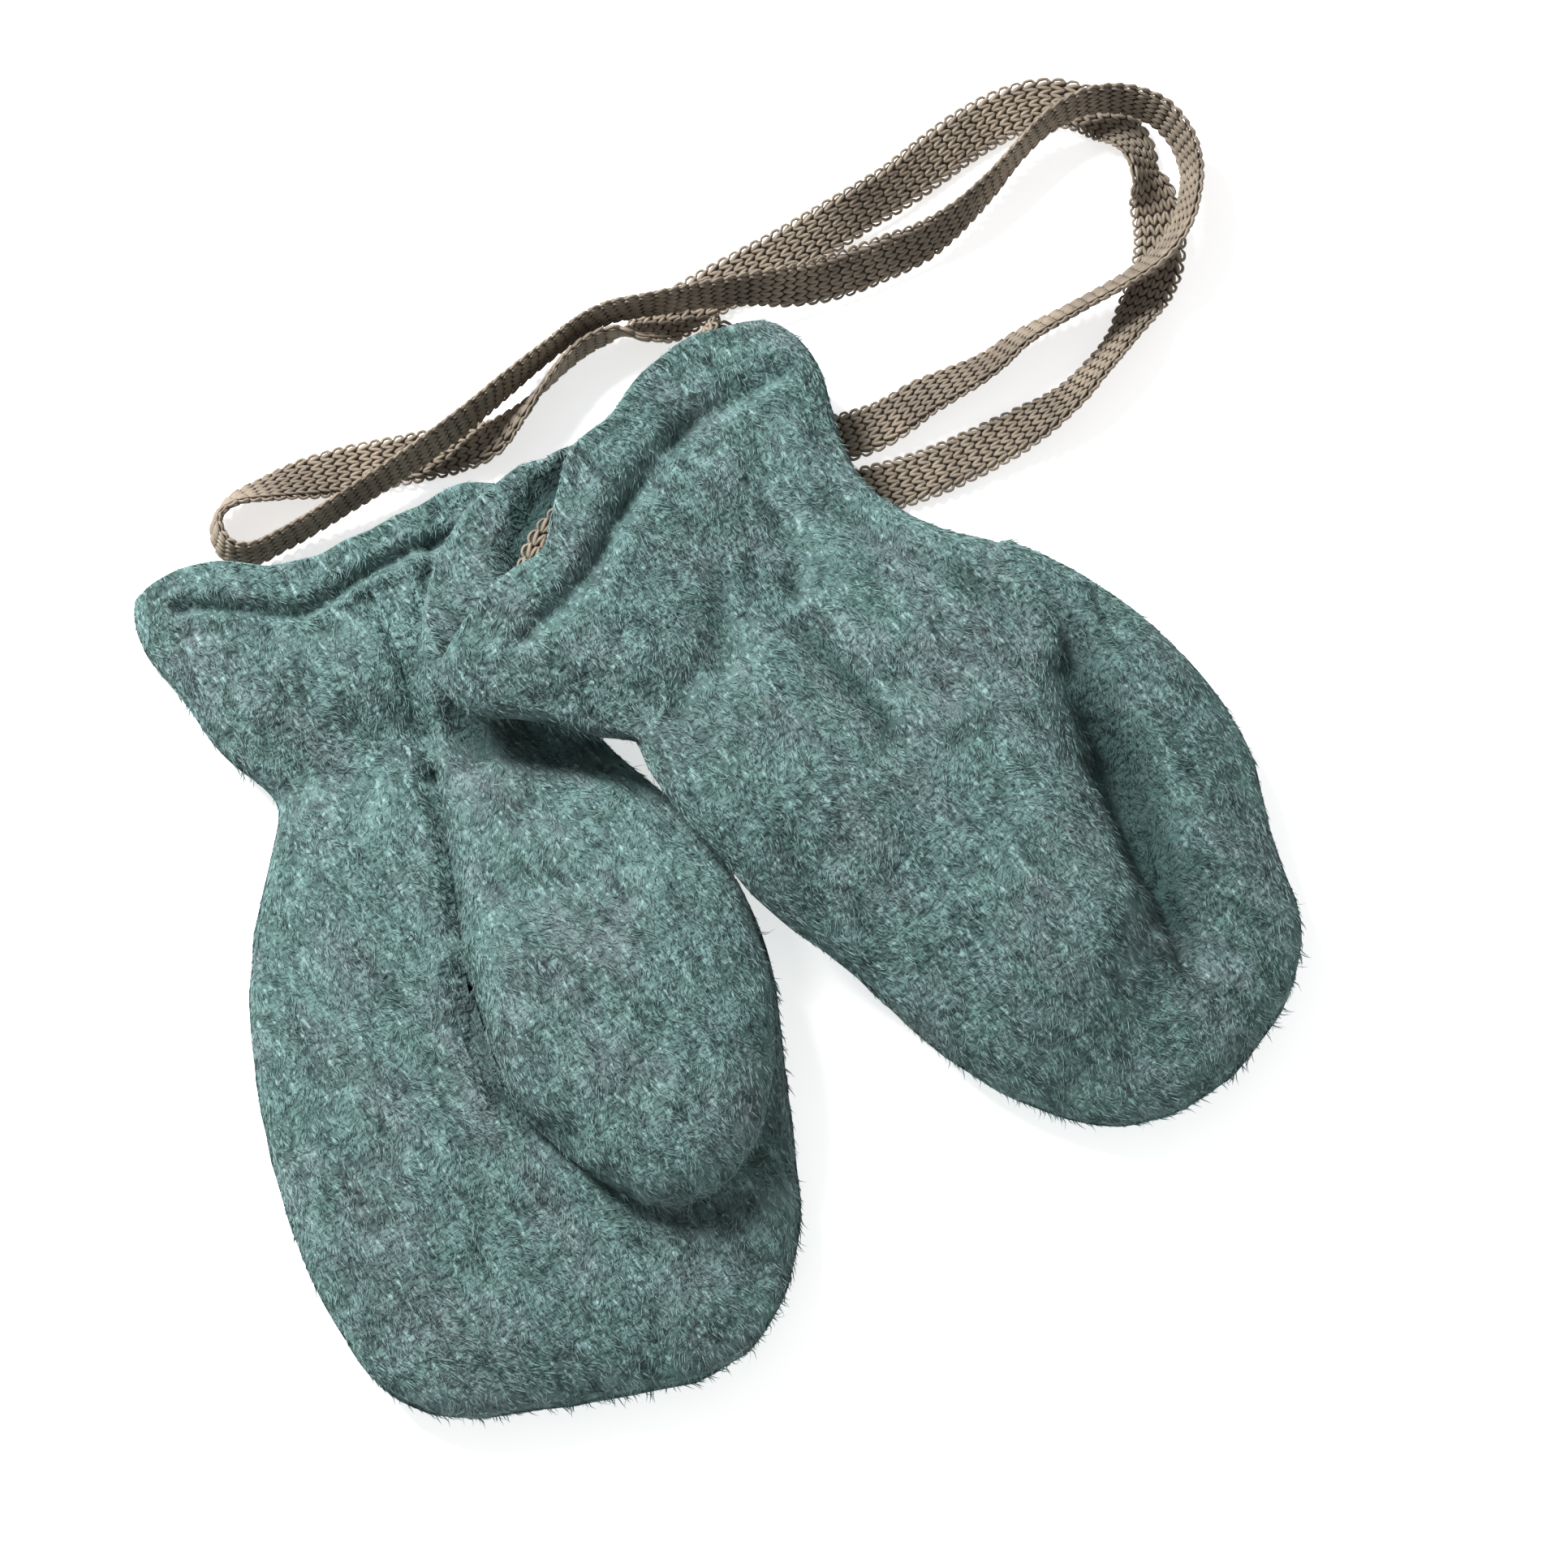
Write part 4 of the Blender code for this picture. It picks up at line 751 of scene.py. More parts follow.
@dataclass
class Nap:
    """The combed nap of one cloth piece: fibres rooted in its outer face, lying over towards one side.

    Slopes are the upward part of the cloth's normal, and shares are of the fibres or of their length.
    """

    name: str
    comb: np.ndarray
    seed: int
    dense: dict = field(default_factory=lambda: {Weight.COMBED: 1.3, Weight.STRAY: 0.2})  # a square millimetre
    free: float = 10.0
    free_from: float = 0.4
    under_slope: float = -0.25
    under_share: float = 0.3
    floor_slope: float = -0.6
    floor_share: float = 0.12
    side_slope: float = 0.4
    side_share: float = 0.6
    swirls: tuple = ((90.0, 1.0), (420.0, 1.1))  # patches a metre, and the turn in radians
    sunk: float = 0.1
    lowest: float = 0.03
    droop: tuple = (0.15, 0.45)
    wave: float = 0.4
    tip_tone: float = 0.2

    def roots(self, made: Thing, walls: BVHTree, per_mm2: float, draw: Maker) -> tuple[np.ndarray, ...]:
        """Choose roots on the faces that have free air over them.

        Args:
            made: The cloth.
            walls: Everything that may cover it.
            per_mm2: Fibres a square millimetre.
            draw: The random draw.

        Returns:
            Roots, normals, how far the nap swirls there, and how much shade is painted there.
        """
        places, normals, triangles = mesh_arrays(made)
        swirls = np.array(
            [sum(noise.noise(here * scale) * turn for scale, turn in self.swirls) for here in map(Vector, places)]
        )
        shading = np.empty(len(places))
        made.data.attributes["fold_shade"].data.foreach_get("value", shading)
        corners = places[triangles]
        sizes = np.linalg.norm(np.cross(corners[:, 1] - corners[:, 0], corners[:, 2] - corners[:, 0]), axis=1) / 2
        count = int(sizes.sum() * 1e6 * per_mm2)
        chosen = draw.choice(len(triangles), size=count, p=sizes / sizes.sum())
        share = draw.random((count, 2))
        share = np.where(share.sum(axis=1, keepdims=True) > 1.0, 1.0 - share, share)
        weights = np.column_stack([1.0 - share.sum(axis=1), share])[:, :, None]
        roots = (corners[chosen] * weights).sum(axis=1)
        upright = unit((normals[triangles[chosen]] * weights).sum(axis=1))
        swirl = (swirls[triangles[chosen]] * weights[:, :, 0]).sum(axis=1)
        shading = (shading[triangles[chosen]] * weights[:, :, 0]).sum(axis=1)
        kept = np.where(upright[:, 2] < self.under_slope, self.under_share, 1.0)
        kept = np.where(upright[:, 2] < self.floor_slope, self.floor_share, kept)
        left_out = draw.random(count) > kept
        starts = roots + upright * self.free_from * MM
        free = [
            not skipped and walls.ray_cast(Vector(start), Vector(out), self.free * MM)[0] is None
            for skipped, start, out in zip(left_out, starts, upright)
        ]
        keep = np.array(free, dtype=bool)
        return roots[keep], upright[keep], swirl[keep], shading[keep]

    def strands(self, fibre: Fibre, found: tuple[np.ndarray, ...], draw: Maker) -> tuple[np.ndarray, ...]:
        """Bend a fibre of one kind out of every root.

        Args:
            fibre: The kind of fibre.
            found: The roots, the cloth's normals, the nap's swirl and the painted shade there.
            draw: The random draw.

        Returns:
            Vertices, triangles, and each vertex's tone and painted shade.
        """
        roots, upright, swirl, shading = found
        rod, faces = fibre.template()
        count = len(roots)
        turn_x = np.cos(swirl) * self.comb[0] - np.sin(swirl) * self.comb[1]
        turn_y = np.sin(swirl) * self.comb[0] + np.cos(swirl) * self.comb[1]
        comb = np.column_stack([turn_x, turn_y, np.zeros(count)])
        along = unit(comb - upright * (comb * upright).sum(axis=1, keepdims=True))
        side = np.cross(upright, along)
        stand = draw.uniform(*fibre.stand, count)[:, None]
        length = draw.uniform(*fibre.length, count)[:, None] * MM
        length = length * np.where(upright[:, 2:] < self.side_slope, self.side_share, 1.0)
        bend = draw.normal(0.0, fibre.curl, count)[:, None]
        droop = draw.uniform(*self.droop, count)[:, None]
        reach = rod[:, 2]
        run = np.cos(stand) * length
        rise = np.sin(stand) * length
        up_axis = unit(upright * np.cos(stand) - along * np.sin(stand))
        centre = roots[:, None, :] - upright[:, None, :] * self.sunk * MM
        centre = centre + along[:, None, :] * (run * reach)[:, :, None]
        centre = centre + upright[:, None, :] * (rise * reach - droop * rise * reach**2)[:, :, None]
        centre = centre + side[:, None, :] * (bend * length * (reach**2 - self.wave * reach))[:, :, None]
        thick = side[:, None, :] * rod[None, :, 0:1] + up_axis[:, None, :] * rod[None, :, 1:2]
        places = (centre + thick * fibre.radius * MM).reshape(-1, 3)
        places[:, 2] = np.maximum(places[:, 2], self.lowest * MM)
        tone = draw.uniform(*fibre.tone, count)[:, None] + self.tip_tone * (reach[None, :] - 0.5)
        tone = np.clip(tone, 0.0, 1.0).reshape(-1)
        return places, repeated(faces, count, len(rod)), tone, np.repeat(shading, len(rod))

    def build(self, made: Thing, walls: BVHTree) -> Thing:
        """Grow the nap of one cloth piece.

        Args:
            made: The cloth.
            walls: Everything that may cover it.

        Returns:
            The fibres as one object.
        """
        draw = np.random.default_rng(self.seed)
        kinds = []
        total = 0
        for fibre in (COMBED, STRAY):
            found = self.roots(made, walls, self.dense[fibre.kind], draw)
            places, triangles, tones, shadings = self.strands(fibre, found, draw)
            kinds.append((places, triangles + total, tones, shadings))
            total += len(places)
        places, triangles, tones, shadings = map(np.concatenate, zip(*kinds))
        grown = meshed(self.name, places, triangles)
        noted(grown, "tone", tones)
        # Painted shade, carried over from the cloth.
        noted(grown, "fold_shade", shadings)
        return grown


@dataclass
class Mitten:
    """One mitten: its back, palm, thumb front and thumb rear, in a frame of its own.

    Along runs from the cuff to the fingertips and across to the thumb's side, from the rim's middle at x, y.
    """

    name: str
    x: float
    y: float
    heading: float
    nap_heading: float
    folds: list
    mouth: Fold
    cuts: dict
    upper: tuple
    seed: int
    tuck: Tuck | None = None
    root: Root | None = None
    merge: float = 0.01
    flat_angle: float = 50.0
    shape_angle: float = 70.0
    edge_angle: float = 55.0
    edge_hold: float = 0.7
    level: int = 2
    split_depth: float = 0.4
    split_length: float = 1.1
    # Painted shade: the fold depth where it starts, and the fold and mouth depths at which it is full.
    shade_start: float = 0.5
    shade_full: float = 3.0
    mouth_shade_full: float = 1.6
    mouth_slope: float = 0.3
    lump_scale: float = 170.0  # lumps a metre
    lump_depth: float = 0.4
    ground_height: float = 3.2
    ground_share: float = 0.15
    lower_share: float = 0.35
    floor_gap: float = 0.05
    seam_reach: float = 1.6
    seam_soft: float = 8.0
    seam_fade: float = 0.4
    seam_share: float = 0.3
    pieces: list = field(default_factory=list)

    def local(self, places: np.ndarray) -> np.ndarray:
        """Turn places into the mitten's own frame.

        Args:
            places: The places, in metres, one a row.

        Returns:
            Along and across, in millimetres, one place a row.
        """
        offset = places[:, :2] / MM - np.array(PAIR_MIDDLE)[:2] - np.array([self.x, self.y])
        angle = math.radians(self.heading)
        along = offset[:, 0] * math.cos(angle) + offset[:, 1] * math.sin(angle)
        across = offset[:, 1] * math.cos(angle) - offset[:, 0] * math.sin(angle)
        return np.column_stack([along, across])

    def shift(self, places: np.ndarray, along: np.ndarray, across: np.ndarray | float) -> None:
        """Move places within the mitten's own frame.

        Args:
            places: The places, in metres, one a row; they change.
            along: How far towards the fingertips, in millimetres.
            across: How far towards the thumb's side, in millimetres.
        """
        angle = math.radians(self.heading)
        places[:, 0] += (along * math.cos(angle) - across * math.sin(angle)) * MM
        places[:, 1] += (along * math.sin(angle) + across * math.cos(angle)) * MM

    def depths(self, places: np.ndarray) -> np.ndarray:
        """How deep all the folds together are at each place.

        Args:
            places: The places, in metres, one a row.

        Returns:
            The depths in millimetres.
        """
        here = self.local(places)
        return sum(fold.at(here) for fold in self.folds)

    def cloth(self, part: str) -> Thing:
        """Make one cloth piece as a smooth shell on its solid's form.

        Args:
            part: The piece's name in the mitten.

        Returns:
            The cloth piece.
        """
        node = self.name + "_" + part
        mesh = bmesh.new()
        mesh.from_mesh(frame["nodes"][node].data)
        bmesh.ops.remove_doubles(mesh, verts=mesh.verts, dist=self.merge * MM)
        bmesh.ops.join_triangles(
            mesh,
            faces=mesh.faces[:],
            angle_face_threshold=math.radians(self.flat_angle),
            angle_shape_threshold=math.radians(self.shape_angle),
        )
        bmesh.ops.recalc_face_normals(mesh, faces=mesh.faces[:])
        tight = mesh.edges.layers.float.new("crease_edge")
        for edge in mesh.edges:
            edge[tight] = self.edge_hold if edge.calc_face_angle(0.0) > math.radians(self.edge_angle) else 0.0
        made = linked(node + "_cloth", mesh)
        smooth = made.modifiers.new("smooth", "SUBSURF")
        smooth.levels = self.level
        smooth.render_levels = self.level
        coarse, made_smooth = made.data, evaluated(made)
        made.modifiers.clear()
        made.data = made_smooth
        bpy.data.meshes.remove(coarse)
        made.data.name = made.name
        for name in ("custom_normal", "sharp_edge", "sharp_face", "crease_edge"):
            if name in made.data.attributes:
                made.data.attributes.remove(made.data.attributes[name])
        self.refine(made)
        made.data.shade_smooth()
        return made

    def refine(self, made: Thing) -> None:
        """Split the longer edges where a fold is, so that its form comes out.

        Args:
            made: The cloth piece.
        """
        depth = np.abs(self.depths(mesh_arrays(made)[0]))
        mesh = bmesh.new()
        mesh.from_mesh(made.data)
        mesh.verts.ensure_lookup_table()
        long_edges = [
            edge
            for edge in mesh.edges
            if max(depth[edge.verts[0].index], depth[edge.verts[1].index]) > self.split_depth
            and edge.calc_length() > self.split_length * MM
        ]
        bmesh.ops.subdivide_edges(mesh, edges=long_edges, cuts=1, use_grid_fill=True)
        mesh.to_mesh(made.data)
        mesh.free()

    def crease(self, made: Thing, upper: bool, facing: BVHTree) -> None:
        """Press the folds into a cloth piece from its outer side, note their painted shade, and make it a little lumpy.

        Both sides move alike where they are sewn together, so that the seam stays closed.

        Args:
            made: The cloth piece.
            upper: True if it is on the mitten's upper side; the folds are softer on the lower side.
            facing: The pieces of the mitten's other side.
        """
        places, normals, _ = mesh_arrays(made)
        here = self.local(places)
        depth = self.depths(places)
        mouth = np.where(upper | (normals[:, 2] < self.mouth_slope), 0.0, self.mouth.at(here))
        # Painted shade: darker in deep folds and on the lower lip inside the cuff's mouth, where shade falls.
        fold_shade = np.maximum((depth - self.shade_start) / self.shade_full, mouth / self.mouth_shade_full)
        noted(made, "fold_shade", np.clip(fold_shade, 0.0, 1.0))
        lump = np.array([noise.noise(Vector(place) * self.lump_scale) for place in places])
        grounded = (places[:, 2] < self.ground_height * MM) & (not upper)
        loose = np.where(grounded, self.ground_share, 1.0)
        places += normals * (lump * self.lump_depth * loose)[:, None] * MM
        gaps = [facing.find_nearest(Vector(place), self.seam_soft * MM)[3] for place in places]
        apart = np.array([self.seam_soft if gap is None else gap / MM for gap in gaps])
        joined = np.where(apart < self.seam_soft, np.exp(-((apart / (self.seam_fade * self.seam_soft)) ** 2)), 0.0)
        pushed = np.where(upper, -depth, self.lower_share * depth * loose - mouth)
        places[:, 2] += (pushed * (1.0 - joined) - self.seam_share * depth * joined) * MM
        if upper and self.tuck:
            away = np.linalg.norm(here - np.array([self.tuck.along, self.tuck.across]), axis=1)
            self.shift(places, self.tuck.back * np.exp(-((away / self.tuck.reach) ** 2)), 0.0)
        places[:, 2] = np.maximum(places[:, 2], self.floor_gap * MM)
        moved(made, places)

    def reach_root(self, made: Thing, root: Root) -> None:
        """Stretch the palm's side on to the thumb's root, where its solid stops short of the thumb's front.

        Args:
            made: The palm.
            root: The stretch.
        """
        places = mesh_arrays(made)[0]
        here = self.local(places)
        high = np.clip((places[:, 2] / MM - root.low) / (root.high - root.low), 0.0, 1.0)
        near = np.clip(1.0 - (here[:, 0] - root.start) / root.fade, 0.0, 1.0)
        outer = np.clip((here[:, 1] - root.across) / root.side, 0.0, 1.0)
        side = outer * near * near * (3.0 - 2.0 * near)
        self.shift(places, -(root.pull * high**0.7 * side), -(root.inward * high**3 * side * near))
        halfway = outer * 16.0 * (near * (1.0 - near)) ** 2  # 1 halfway along the stretch, 0 at both its ends
        places[:, 2] += root.lift * high * halfway * MM
        moved(made, places)

    def sew(self) -> None:
        """Draw the pieces' edges together where they meet, so that no seam stands open."""
        trees = [all_walls([made]) for made in self.pieces]
        for made, own in zip(self.pieces, trees):
            others = [tree for tree in trees if tree is not own]
            for vertex in made.data.vertices:
                for tree in others:
                    met, _, _, gap = tree.find_nearest(vertex.co, self.seam_reach * MM)
                    if met is not None:
                        vertex.co += (met - vertex.co) * (1.0 - 0.5 * gap / (self.seam_reach * MM))
            made.data.update()

    def build(self) -> list[Thing]:
        """Make the four cloth pieces.

        Returns:
            The pieces.
        """
        made_parts = {part: self.cloth(part) for part in self.cuts}
        self.pieces = list(made_parts.values())
        sides = {}
        for side in (True, False):
            sides[side] = all_walls([made for part, made in made_parts.items() if (part in self.upper) is side])
        for part, made in made_parts.items():
            self.crease(made, part in self.upper, sides[part not in self.upper])
        if self.root:
            self.reach_root(made_parts["palm"], self.root)
        self.sew()
        return self.pieces

    def dress(self, walls: BVHTree) -> None:
        """Give each piece its finish and its nap, hide its solid, and log its size.

        Args:
            walls: Everything that may cover the cloth.
        """
        wool = BrushedWool(self.nap_heading)
        ground, nap = wool.cloth(), wool.nap()
        angle = math.radians(self.nap_heading)
        comb = np.array([math.cos(angle), math.sin(angle)])
        for number, (made, (part, cut)) in enumerate(zip(self.pieces, self.cuts.items())):
            node = self.name + "_" + part
            fibres = Nap(node + "_nap", comb, self.seed + number).build(made, walls)
            finished(made, ground)
            finished(fibres, nap)
            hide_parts(node)
            log.info("%s: %d faces, nap %d faces", node, len(made.data.polygons), len(fibres.data.polygons))


def curve_point(before: Vector, start: Vector, end: Vector, after: Vector, share: float) -> Vector:
    """A point on the smooth curve through four neighbouring points, between the middle two.

    Args:
        before: The point before the stretch.
        start: The stretch's start.
        end: The stretch's end.
        after: The point after the stretch.
        share: How far along the stretch, from 0 to 1.

    Returns:
        The point.
    """
    return 0.5 * (
        2.0 * start
        + (end - before) * share
        + (2.0 * before - 5.0 * start + 4.0 * end - after) * share**2
        + (3.0 * start - before - 3.0 * end + after) * share**3
    )


def smooth_line(points: list[Vector], count: int) -> list[Vector]:
    """The smooth curve through a line of points.

    Args:
        points: The points.
        count: Steps from each point to the next.

    Returns:
        The curve's points.
    """
    ends = [points[0] * 2.0 - points[1]] + list(points) + [points[-1] * 2.0 - points[-2]]
    line = []
    for before, start, end, after in zip(ends, ends[1:], ends[2:], ends[3:]):
        line += [curve_point(before, start, end, after, step / count) for step in range(count)]
    return line + [points[-1]]


@dataclass
class KnitTape:
    """A flat tube of stocking stitch: V stitches on both faces, and a loose loop of yarn along each edge.

    A real tape of this kind has finer stitches, about 1.4 mm a row; they are drawn coarser here.
    """

    stops: list
    width: float = 9.0
    fine: int = 12
    look: int = 2
    row_pitch: float = 2.0
    wale_pitch: float = 1.42
    wales: int = 5
    leg_length: float = 2.45
    leg_width: float = 0.86
    leg_height: float = 0.62
    leg_tilt: float = 18.0
    leg_plump: float = -0.4
    leg_lap: float = 0.14
    loose_tilt: float = 2.5
    loose_aside: float = 0.04
    loose_along: float = 0.06
    face_rise: float = 0.36
    edge_yarn: float = 0.28
    edge_steps: int = 8
    edge_end: float = 0.2
    edge_weave: float = 0.1
    inside_step: float = 2.5
    inside_end: float = 0.5
    inside_inset: float = 0.2
    inside_thickness: float = 0.12
    seed: int = 5
    route: tuple = field(init=False)

    def __post_init__(self) -> None:
        """Work out the route once."""
        self.route = self.frames()

    def frames(self) -> tuple[np.ndarray, np.ndarray, np.ndarray]:
        """The route's points and the direction of the tape's width at each.

        Returns:
            Points in millimetres, directions, and the distance along at each point.
        """
        points = smooth_line([Vector((stop.x, stop.y, stop.z)) for stop in self.stops], self.fine)
        widths = []
        for index, stop in enumerate(self.stops):
            place = index * self.fine
            ahead = points[min(place + self.look, len(points) - 1)] - points[max(place - self.look, 0)]
            level = Vector((-ahead.y, ahead.x, 0.0)).normalized() * stop.turn
            widths.append(self.leaned(level, stop.lean))
        for index, stop in enumerate(self.stops):
            if stop.turn == 0:
                level = (widths[index - 1] + widths[index + 1]).normalized()
                widths[index] = self.leaned(level, stop.lean)
        wide = smooth_line(widths, self.fine)
        places = np.array(points) + np.array(PAIR_MIDDLE)
        steps = np.linalg.norm(np.diff(places, axis=0), axis=1)
        reach = np.concatenate([[0.0], np.cumsum(steps)])
        return places, np.array(wide), reach

    def leaned(self, level: Vector, lean: float) -> Vector:
        """Turn the tape's width, given as it lies flat, up on edge by so many degrees."""
        angle = math.radians(lean)
        return level * math.cos(angle) + Vector((0.0, 0.0, math.sin(angle)))

    def mapped(self, reach: np.ndarray, aside: np.ndarray, out: np.ndarray) -> np.ndarray:
        """Carry places of the straight flat tape onto its route.

        Args:
            reach: Distances along, in millimetres.
            aside: Distances across, in millimetres.
            out: Distances out of the face, in millimetres.

        Returns:
            The places in metres, one a row.
        """
        places, wide, known = self.route
        held = np.clip(reach, 0.0, known[-1])
        spot, across, ahead, behind = (
            np.column_stack([np.interp(at, known, values[:, axis]) for axis in range(3)])
            for at, values in ((held, places), (held, wide), (held + 1.0, places), (held - 1.0, places))
        )
        along = unit(ahead - behind)
        across = unit(across - along * (along * across).sum(axis=1, keepdims=True))
        return (spot + across * aside[:, None] + np.cross(along, across) * out[:, None]) * MM

    def leg(self) -> tuple[np.ndarray, np.ndarray]:
        """One leg of a stitch, a plump grain of yarn that lies along the first axis.

        Returns:
            The vertices in millimetres and the triangles.
        """
        mesh = bmesh.new()
        bmesh.ops.create_uvsphere(mesh, u_segments=4, v_segments=4, radius=1.0)
        places, triangles = template_arrays(mesh)
        girth = np.maximum(np.linalg.norm(places[:, :2], axis=1, keepdims=True), 1e-6)
        places[:, :2] *= np.minimum(girth, 1.0) ** self.leg_plump * (girth > 1e-3)
        size = np.array([self.leg_length, self.leg_width, self.leg_height]) / 2.0
        return places[:, [2, 0, 1]] * size, triangles

    def stitches(self) -> Thing:
        """Lay two legs a stitch, row after row, on both faces.

        Returns:
            The knitting.
        """
        draw = np.random.default_rng(self.seed)
        rod, faces = self.leg()
        rows = np.arange(int(self.route[2][-1] / self.row_pitch))
        sides = (-1.0, 1.0)
        row, wale, lean, face = (
            grid.ravel()[:, None] for grid in np.meshgrid(rows, np.arange(self.wales), sides, sides, indexing="ij")
        )
        angle = np.radians(self.leg_tilt + draw.normal(0.0, self.loose_tilt, row.shape)) * lean
        middle = (wale - (self.wales - 1) / 2.0) * self.wale_pitch + lean * self.wale_pitch * 0.25
        middle = middle + draw.normal(0.0, self.loose_aside, row.shape)
        start = (row + 0.5) * self.row_pitch + draw.normal(0.0, self.loose_along, row.shape)
        reach = start + rod[:, 0] * np.cos(angle) - rod[:, 1] * np.sin(angle)
        aside = middle + rod[:, 0] * np.sin(angle) + rod[:, 1] * np.cos(angle)
        out = face * self.face_rise + rod[:, 2] + face * self.leg_lap * rod[:, 0] / self.leg_length
        places = self.mapped(reach.ravel(), aside.ravel(), out.ravel())
        return meshed("tape_knitting", places, repeated(faces, len(row), len(rod)))

    def selvedge(self) -> Thing:
        """The loose loop of yarn that runs in and out along each edge and leaves small holes.

        Returns:
            Both edges' loops.
        """
        total = self.route[2][-1]
        reach = np.linspace(self.edge_end, total - self.edge_end, int(total / self.row_pitch) * self.edge_steps)
        turn = 2.0 * math.pi * reach / self.row_pitch
        inner = self.wales * self.wale_pitch / 2.0
        bulge = self.width / 2.0 - self.edge_yarn - inner
        curve = bpy.data.curves.new("edge_line", "CURVE")
        curve.dimensions = "3D"
        curve.bevel_depth = self.edge_yarn * MM
        curve.bevel_resolution = 0
        curve.use_fill_caps = True
        for side in (-1.0, 1.0):
            aside = side * (inner + bulge * (1.0 - (0.5 + 0.5 * np.cos(turn)) ** 3))
            line = self.mapped(reach, aside, self.edge_weave * np.sin(turn))
            spline = curve.splines.new("POLY")
            spline.points.add(len(line) - 1)
            spline.points.foreach_set("co", np.column_stack([line, np.ones(len(line))]).ravel())
        held = placed("edge_line", curve)
        data = evaluated(held)
        bpy.data.objects.remove(held, do_unlink=True)
        data.name = "tape_selvedge"
        data.shade_smooth()
        return placed("tape_selvedge", data)

    def inside(self) -> Thing:
        """A thin band of painted shade in the middle of the knitting, narrower than the tape, seen between the
        stitches.

        Returns:
            The band.
        """
        total = self.route[2][-1]
        half = self.wales * self.wale_pitch / 2.0 - self.inside_inset
        mesh = bmesh.new()
        bmesh.ops.create_grid(mesh, x_segments=4, y_segments=int(total / self.inside_step), size=1.0)
        flat = np.array([vertex.co for vertex in mesh.verts])
        reach = self.inside_end + (flat[:, 1] + 1.0) / 2.0 * (total - 2.0 * self.inside_end)
        for vertex, place in zip(mesh.verts, self.mapped(reach, flat[:, 0] * half, flat[:, 0] * 0.0)):
            vertex.co = place
        bmesh.ops.recalc_face_normals(mesh, faces=mesh.faces[:])
        bmesh.ops.solidify(mesh, geom=mesh.faces[:], thickness=self.inside_thickness * MM)
        return linked("tape_stitch_shade", mesh)

    def build(self) -> list[Thing]:
        """Knit the tape: its two faces, its edges and a band of painted shade inside it."""
        return [self.stitches(), self.selvedge(), self.inside()]

    def dress(self, pieces: list[Thing], finish: MattYarn) -> None:
        """Give the tape its finish, hide its solid, and log its sizes.

        Args:
            pieces: The knitting, its edges and its band of painted shade.
            finish: The yarn's finish.
        """
        yarn = finish.yarn()
        for made, paint in zip(pieces, (yarn, yarn, finish.ground())):
            finished(made, paint)
            log.info("%s: %d faces", made.name, len(made.data.polygons))
        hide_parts("tape")


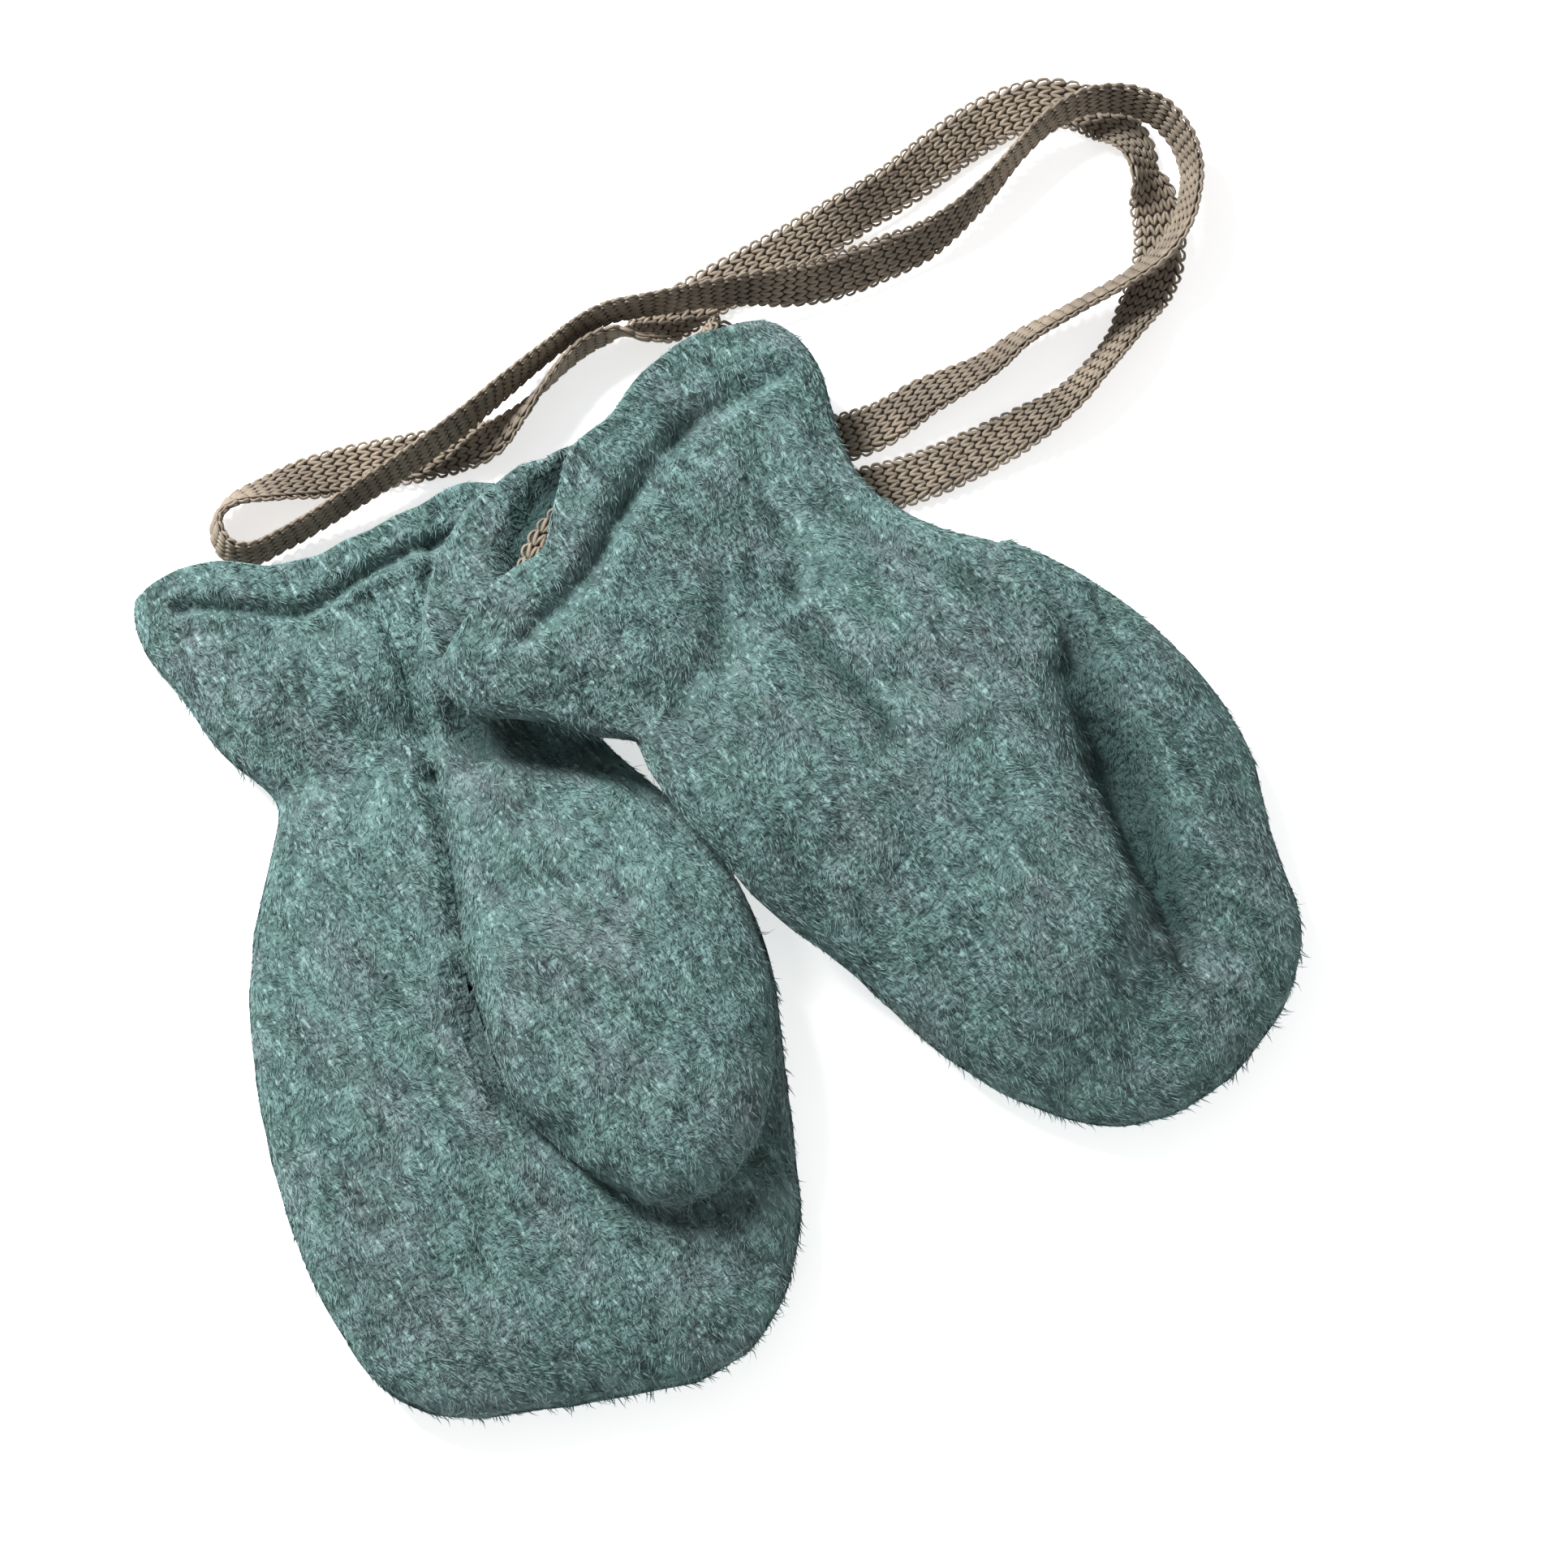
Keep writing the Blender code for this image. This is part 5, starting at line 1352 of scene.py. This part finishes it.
@dataclass
class Studio:
    """A plain pale floor, a big soft light from above and behind, a fill, and the camera."""

    elevation: float = 74.0
    distance: float = 900.0
    lens: float = 127.4
    sensor: float = 36.0
    near: float = 10.0
    floor: str = "F4F4F4"
    floor_half: float = 3000.0
    floor_glow: float = 0.62
    floor_drop: float = 0.05
    sky: float = 0.4
    lamps: tuple = (
        Lamp("key", (-430.0, 420.0, 540.0), 260.0, 13.0),
        Lamp("fill", (420.0, -360.0, 520.0), 500.0, 0.5),
    )

    def build(self) -> None:
        """Make the floor, the lights and the camera."""
        self.make_floor()
        for lamp in self.lamps:
            self.make_light(lamp)
        self.make_sky()
        self.make_camera()

    def make_floor(self) -> None:
        """A wide pale sheet to stand on."""
        mesh = bmesh.new()
        bmesh.ops.create_grid(mesh, x_segments=1, y_segments=1, size=self.floor_half * MM)
        bmesh.ops.translate(mesh, verts=mesh.verts, vec=(0.0, 0.0, -self.floor_drop * MM))
        made = linked("floor", mesh)
        paint, _, surface = painted("pale_floor", 0.9, 0.0)
        surface.inputs["Base Color"].default_value = linear(self.floor)
        surface.inputs["Emission Color"].default_value = (1.0, 1.0, 1.0, 1.0)
        surface.inputs["Emission Strength"].default_value = self.floor_glow
        made.data.materials.append(paint)

    def make_light(self, lamp: Lamp) -> None:
        """Hang a light that faces the mittens.

        Args:
            lamp: The light.
        """
        data = bpy.data.lights.new(lamp.name, "AREA")
        data.size = lamp.size * MM
        data.energy = lamp.power
        made = placed(lamp.name, data)
        made.location = Vector(lamp.place) * MM
        made.rotation_euler = (-made.location).to_track_quat("-Z", "Y").to_euler()

    def make_sky(self) -> None:
        """An even white surrounding light."""
        world = bpy.data.worlds.new("white")
        world.use_nodes = True
        background = world.node_tree.nodes["Background"]
        background.inputs["Color"].default_value = (1.0, 1.0, 1.0, 1.0)
        background.inputs["Strength"].default_value = self.sky
        bpy.context.scene.world = world
        bpy.context.scene.view_settings.view_transform = "Standard"

    def make_camera(self) -> None:
        """Look down at the mittens, a little from the front."""
        data = bpy.data.cameras.new("camera")
        data.lens = self.lens
        data.sensor_width = self.sensor
        data.clip_start = self.near * MM
        made = placed("camera", data)
        angle = math.radians(self.elevation)
        back = Vector((0.0, -math.cos(angle), math.sin(angle)))
        made.location = (PAIR_MIDDLE + back * self.distance) * MM
        made.rotation_euler = (math.pi / 2.0 - angle, 0.0, 0.0)
        bpy.context.scene.camera = made


def main() -> None:
    """Build the studio, the tape and the mittens, in order, and log how many triangles they come to."""
    logging.basicConfig(level=logging.INFO, format="%(relativeCreated)d ms: %(message)s")
    Studio().build()
    tape = KnitTape(TAPE_STOPS)
    tape.dress(tape.build(), MattYarn())
    left = Mitten(
        "left",
        x=-73.3,
        y=35.6,
        heading=-75.9,
        nap_heading=-56.0,
        folds=LEFT_FOLDS,
        mouth=LEFT_MOUTH,
        cuts=LEFT_CUTS,
        upper=("palm", "thumb_front", "thumb_rear"),
        seed=11,
    )
    right = Mitten(
        "right",
        x=-31.3,
        y=43.3,
        heading=-41.3,
        nap_heading=-52.0,
        folds=RIGHT_FOLDS,
        mouth=RIGHT_MOUTH,
        cuts=RIGHT_CUTS,
        upper=("back",),
        seed=23,
        tuck=RIGHT_TUCK,
        root=RIGHT_ROOT,
    )
    walls = all_walls(left.build() + right.build())
    log.info("the cloth is made")
    left.dress(walls)
    right.dress(walls)
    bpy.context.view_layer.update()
    total = sum(
        sum(len(polygon.vertices) - 2 for polygon in made.data.polygons)
        for made in bpy.data.objects
        if made.type == "MESH" and not made.hide_render
    )
    log.info("all pieces: %d triangles", total)


if __name__ == "__main__":
    main()
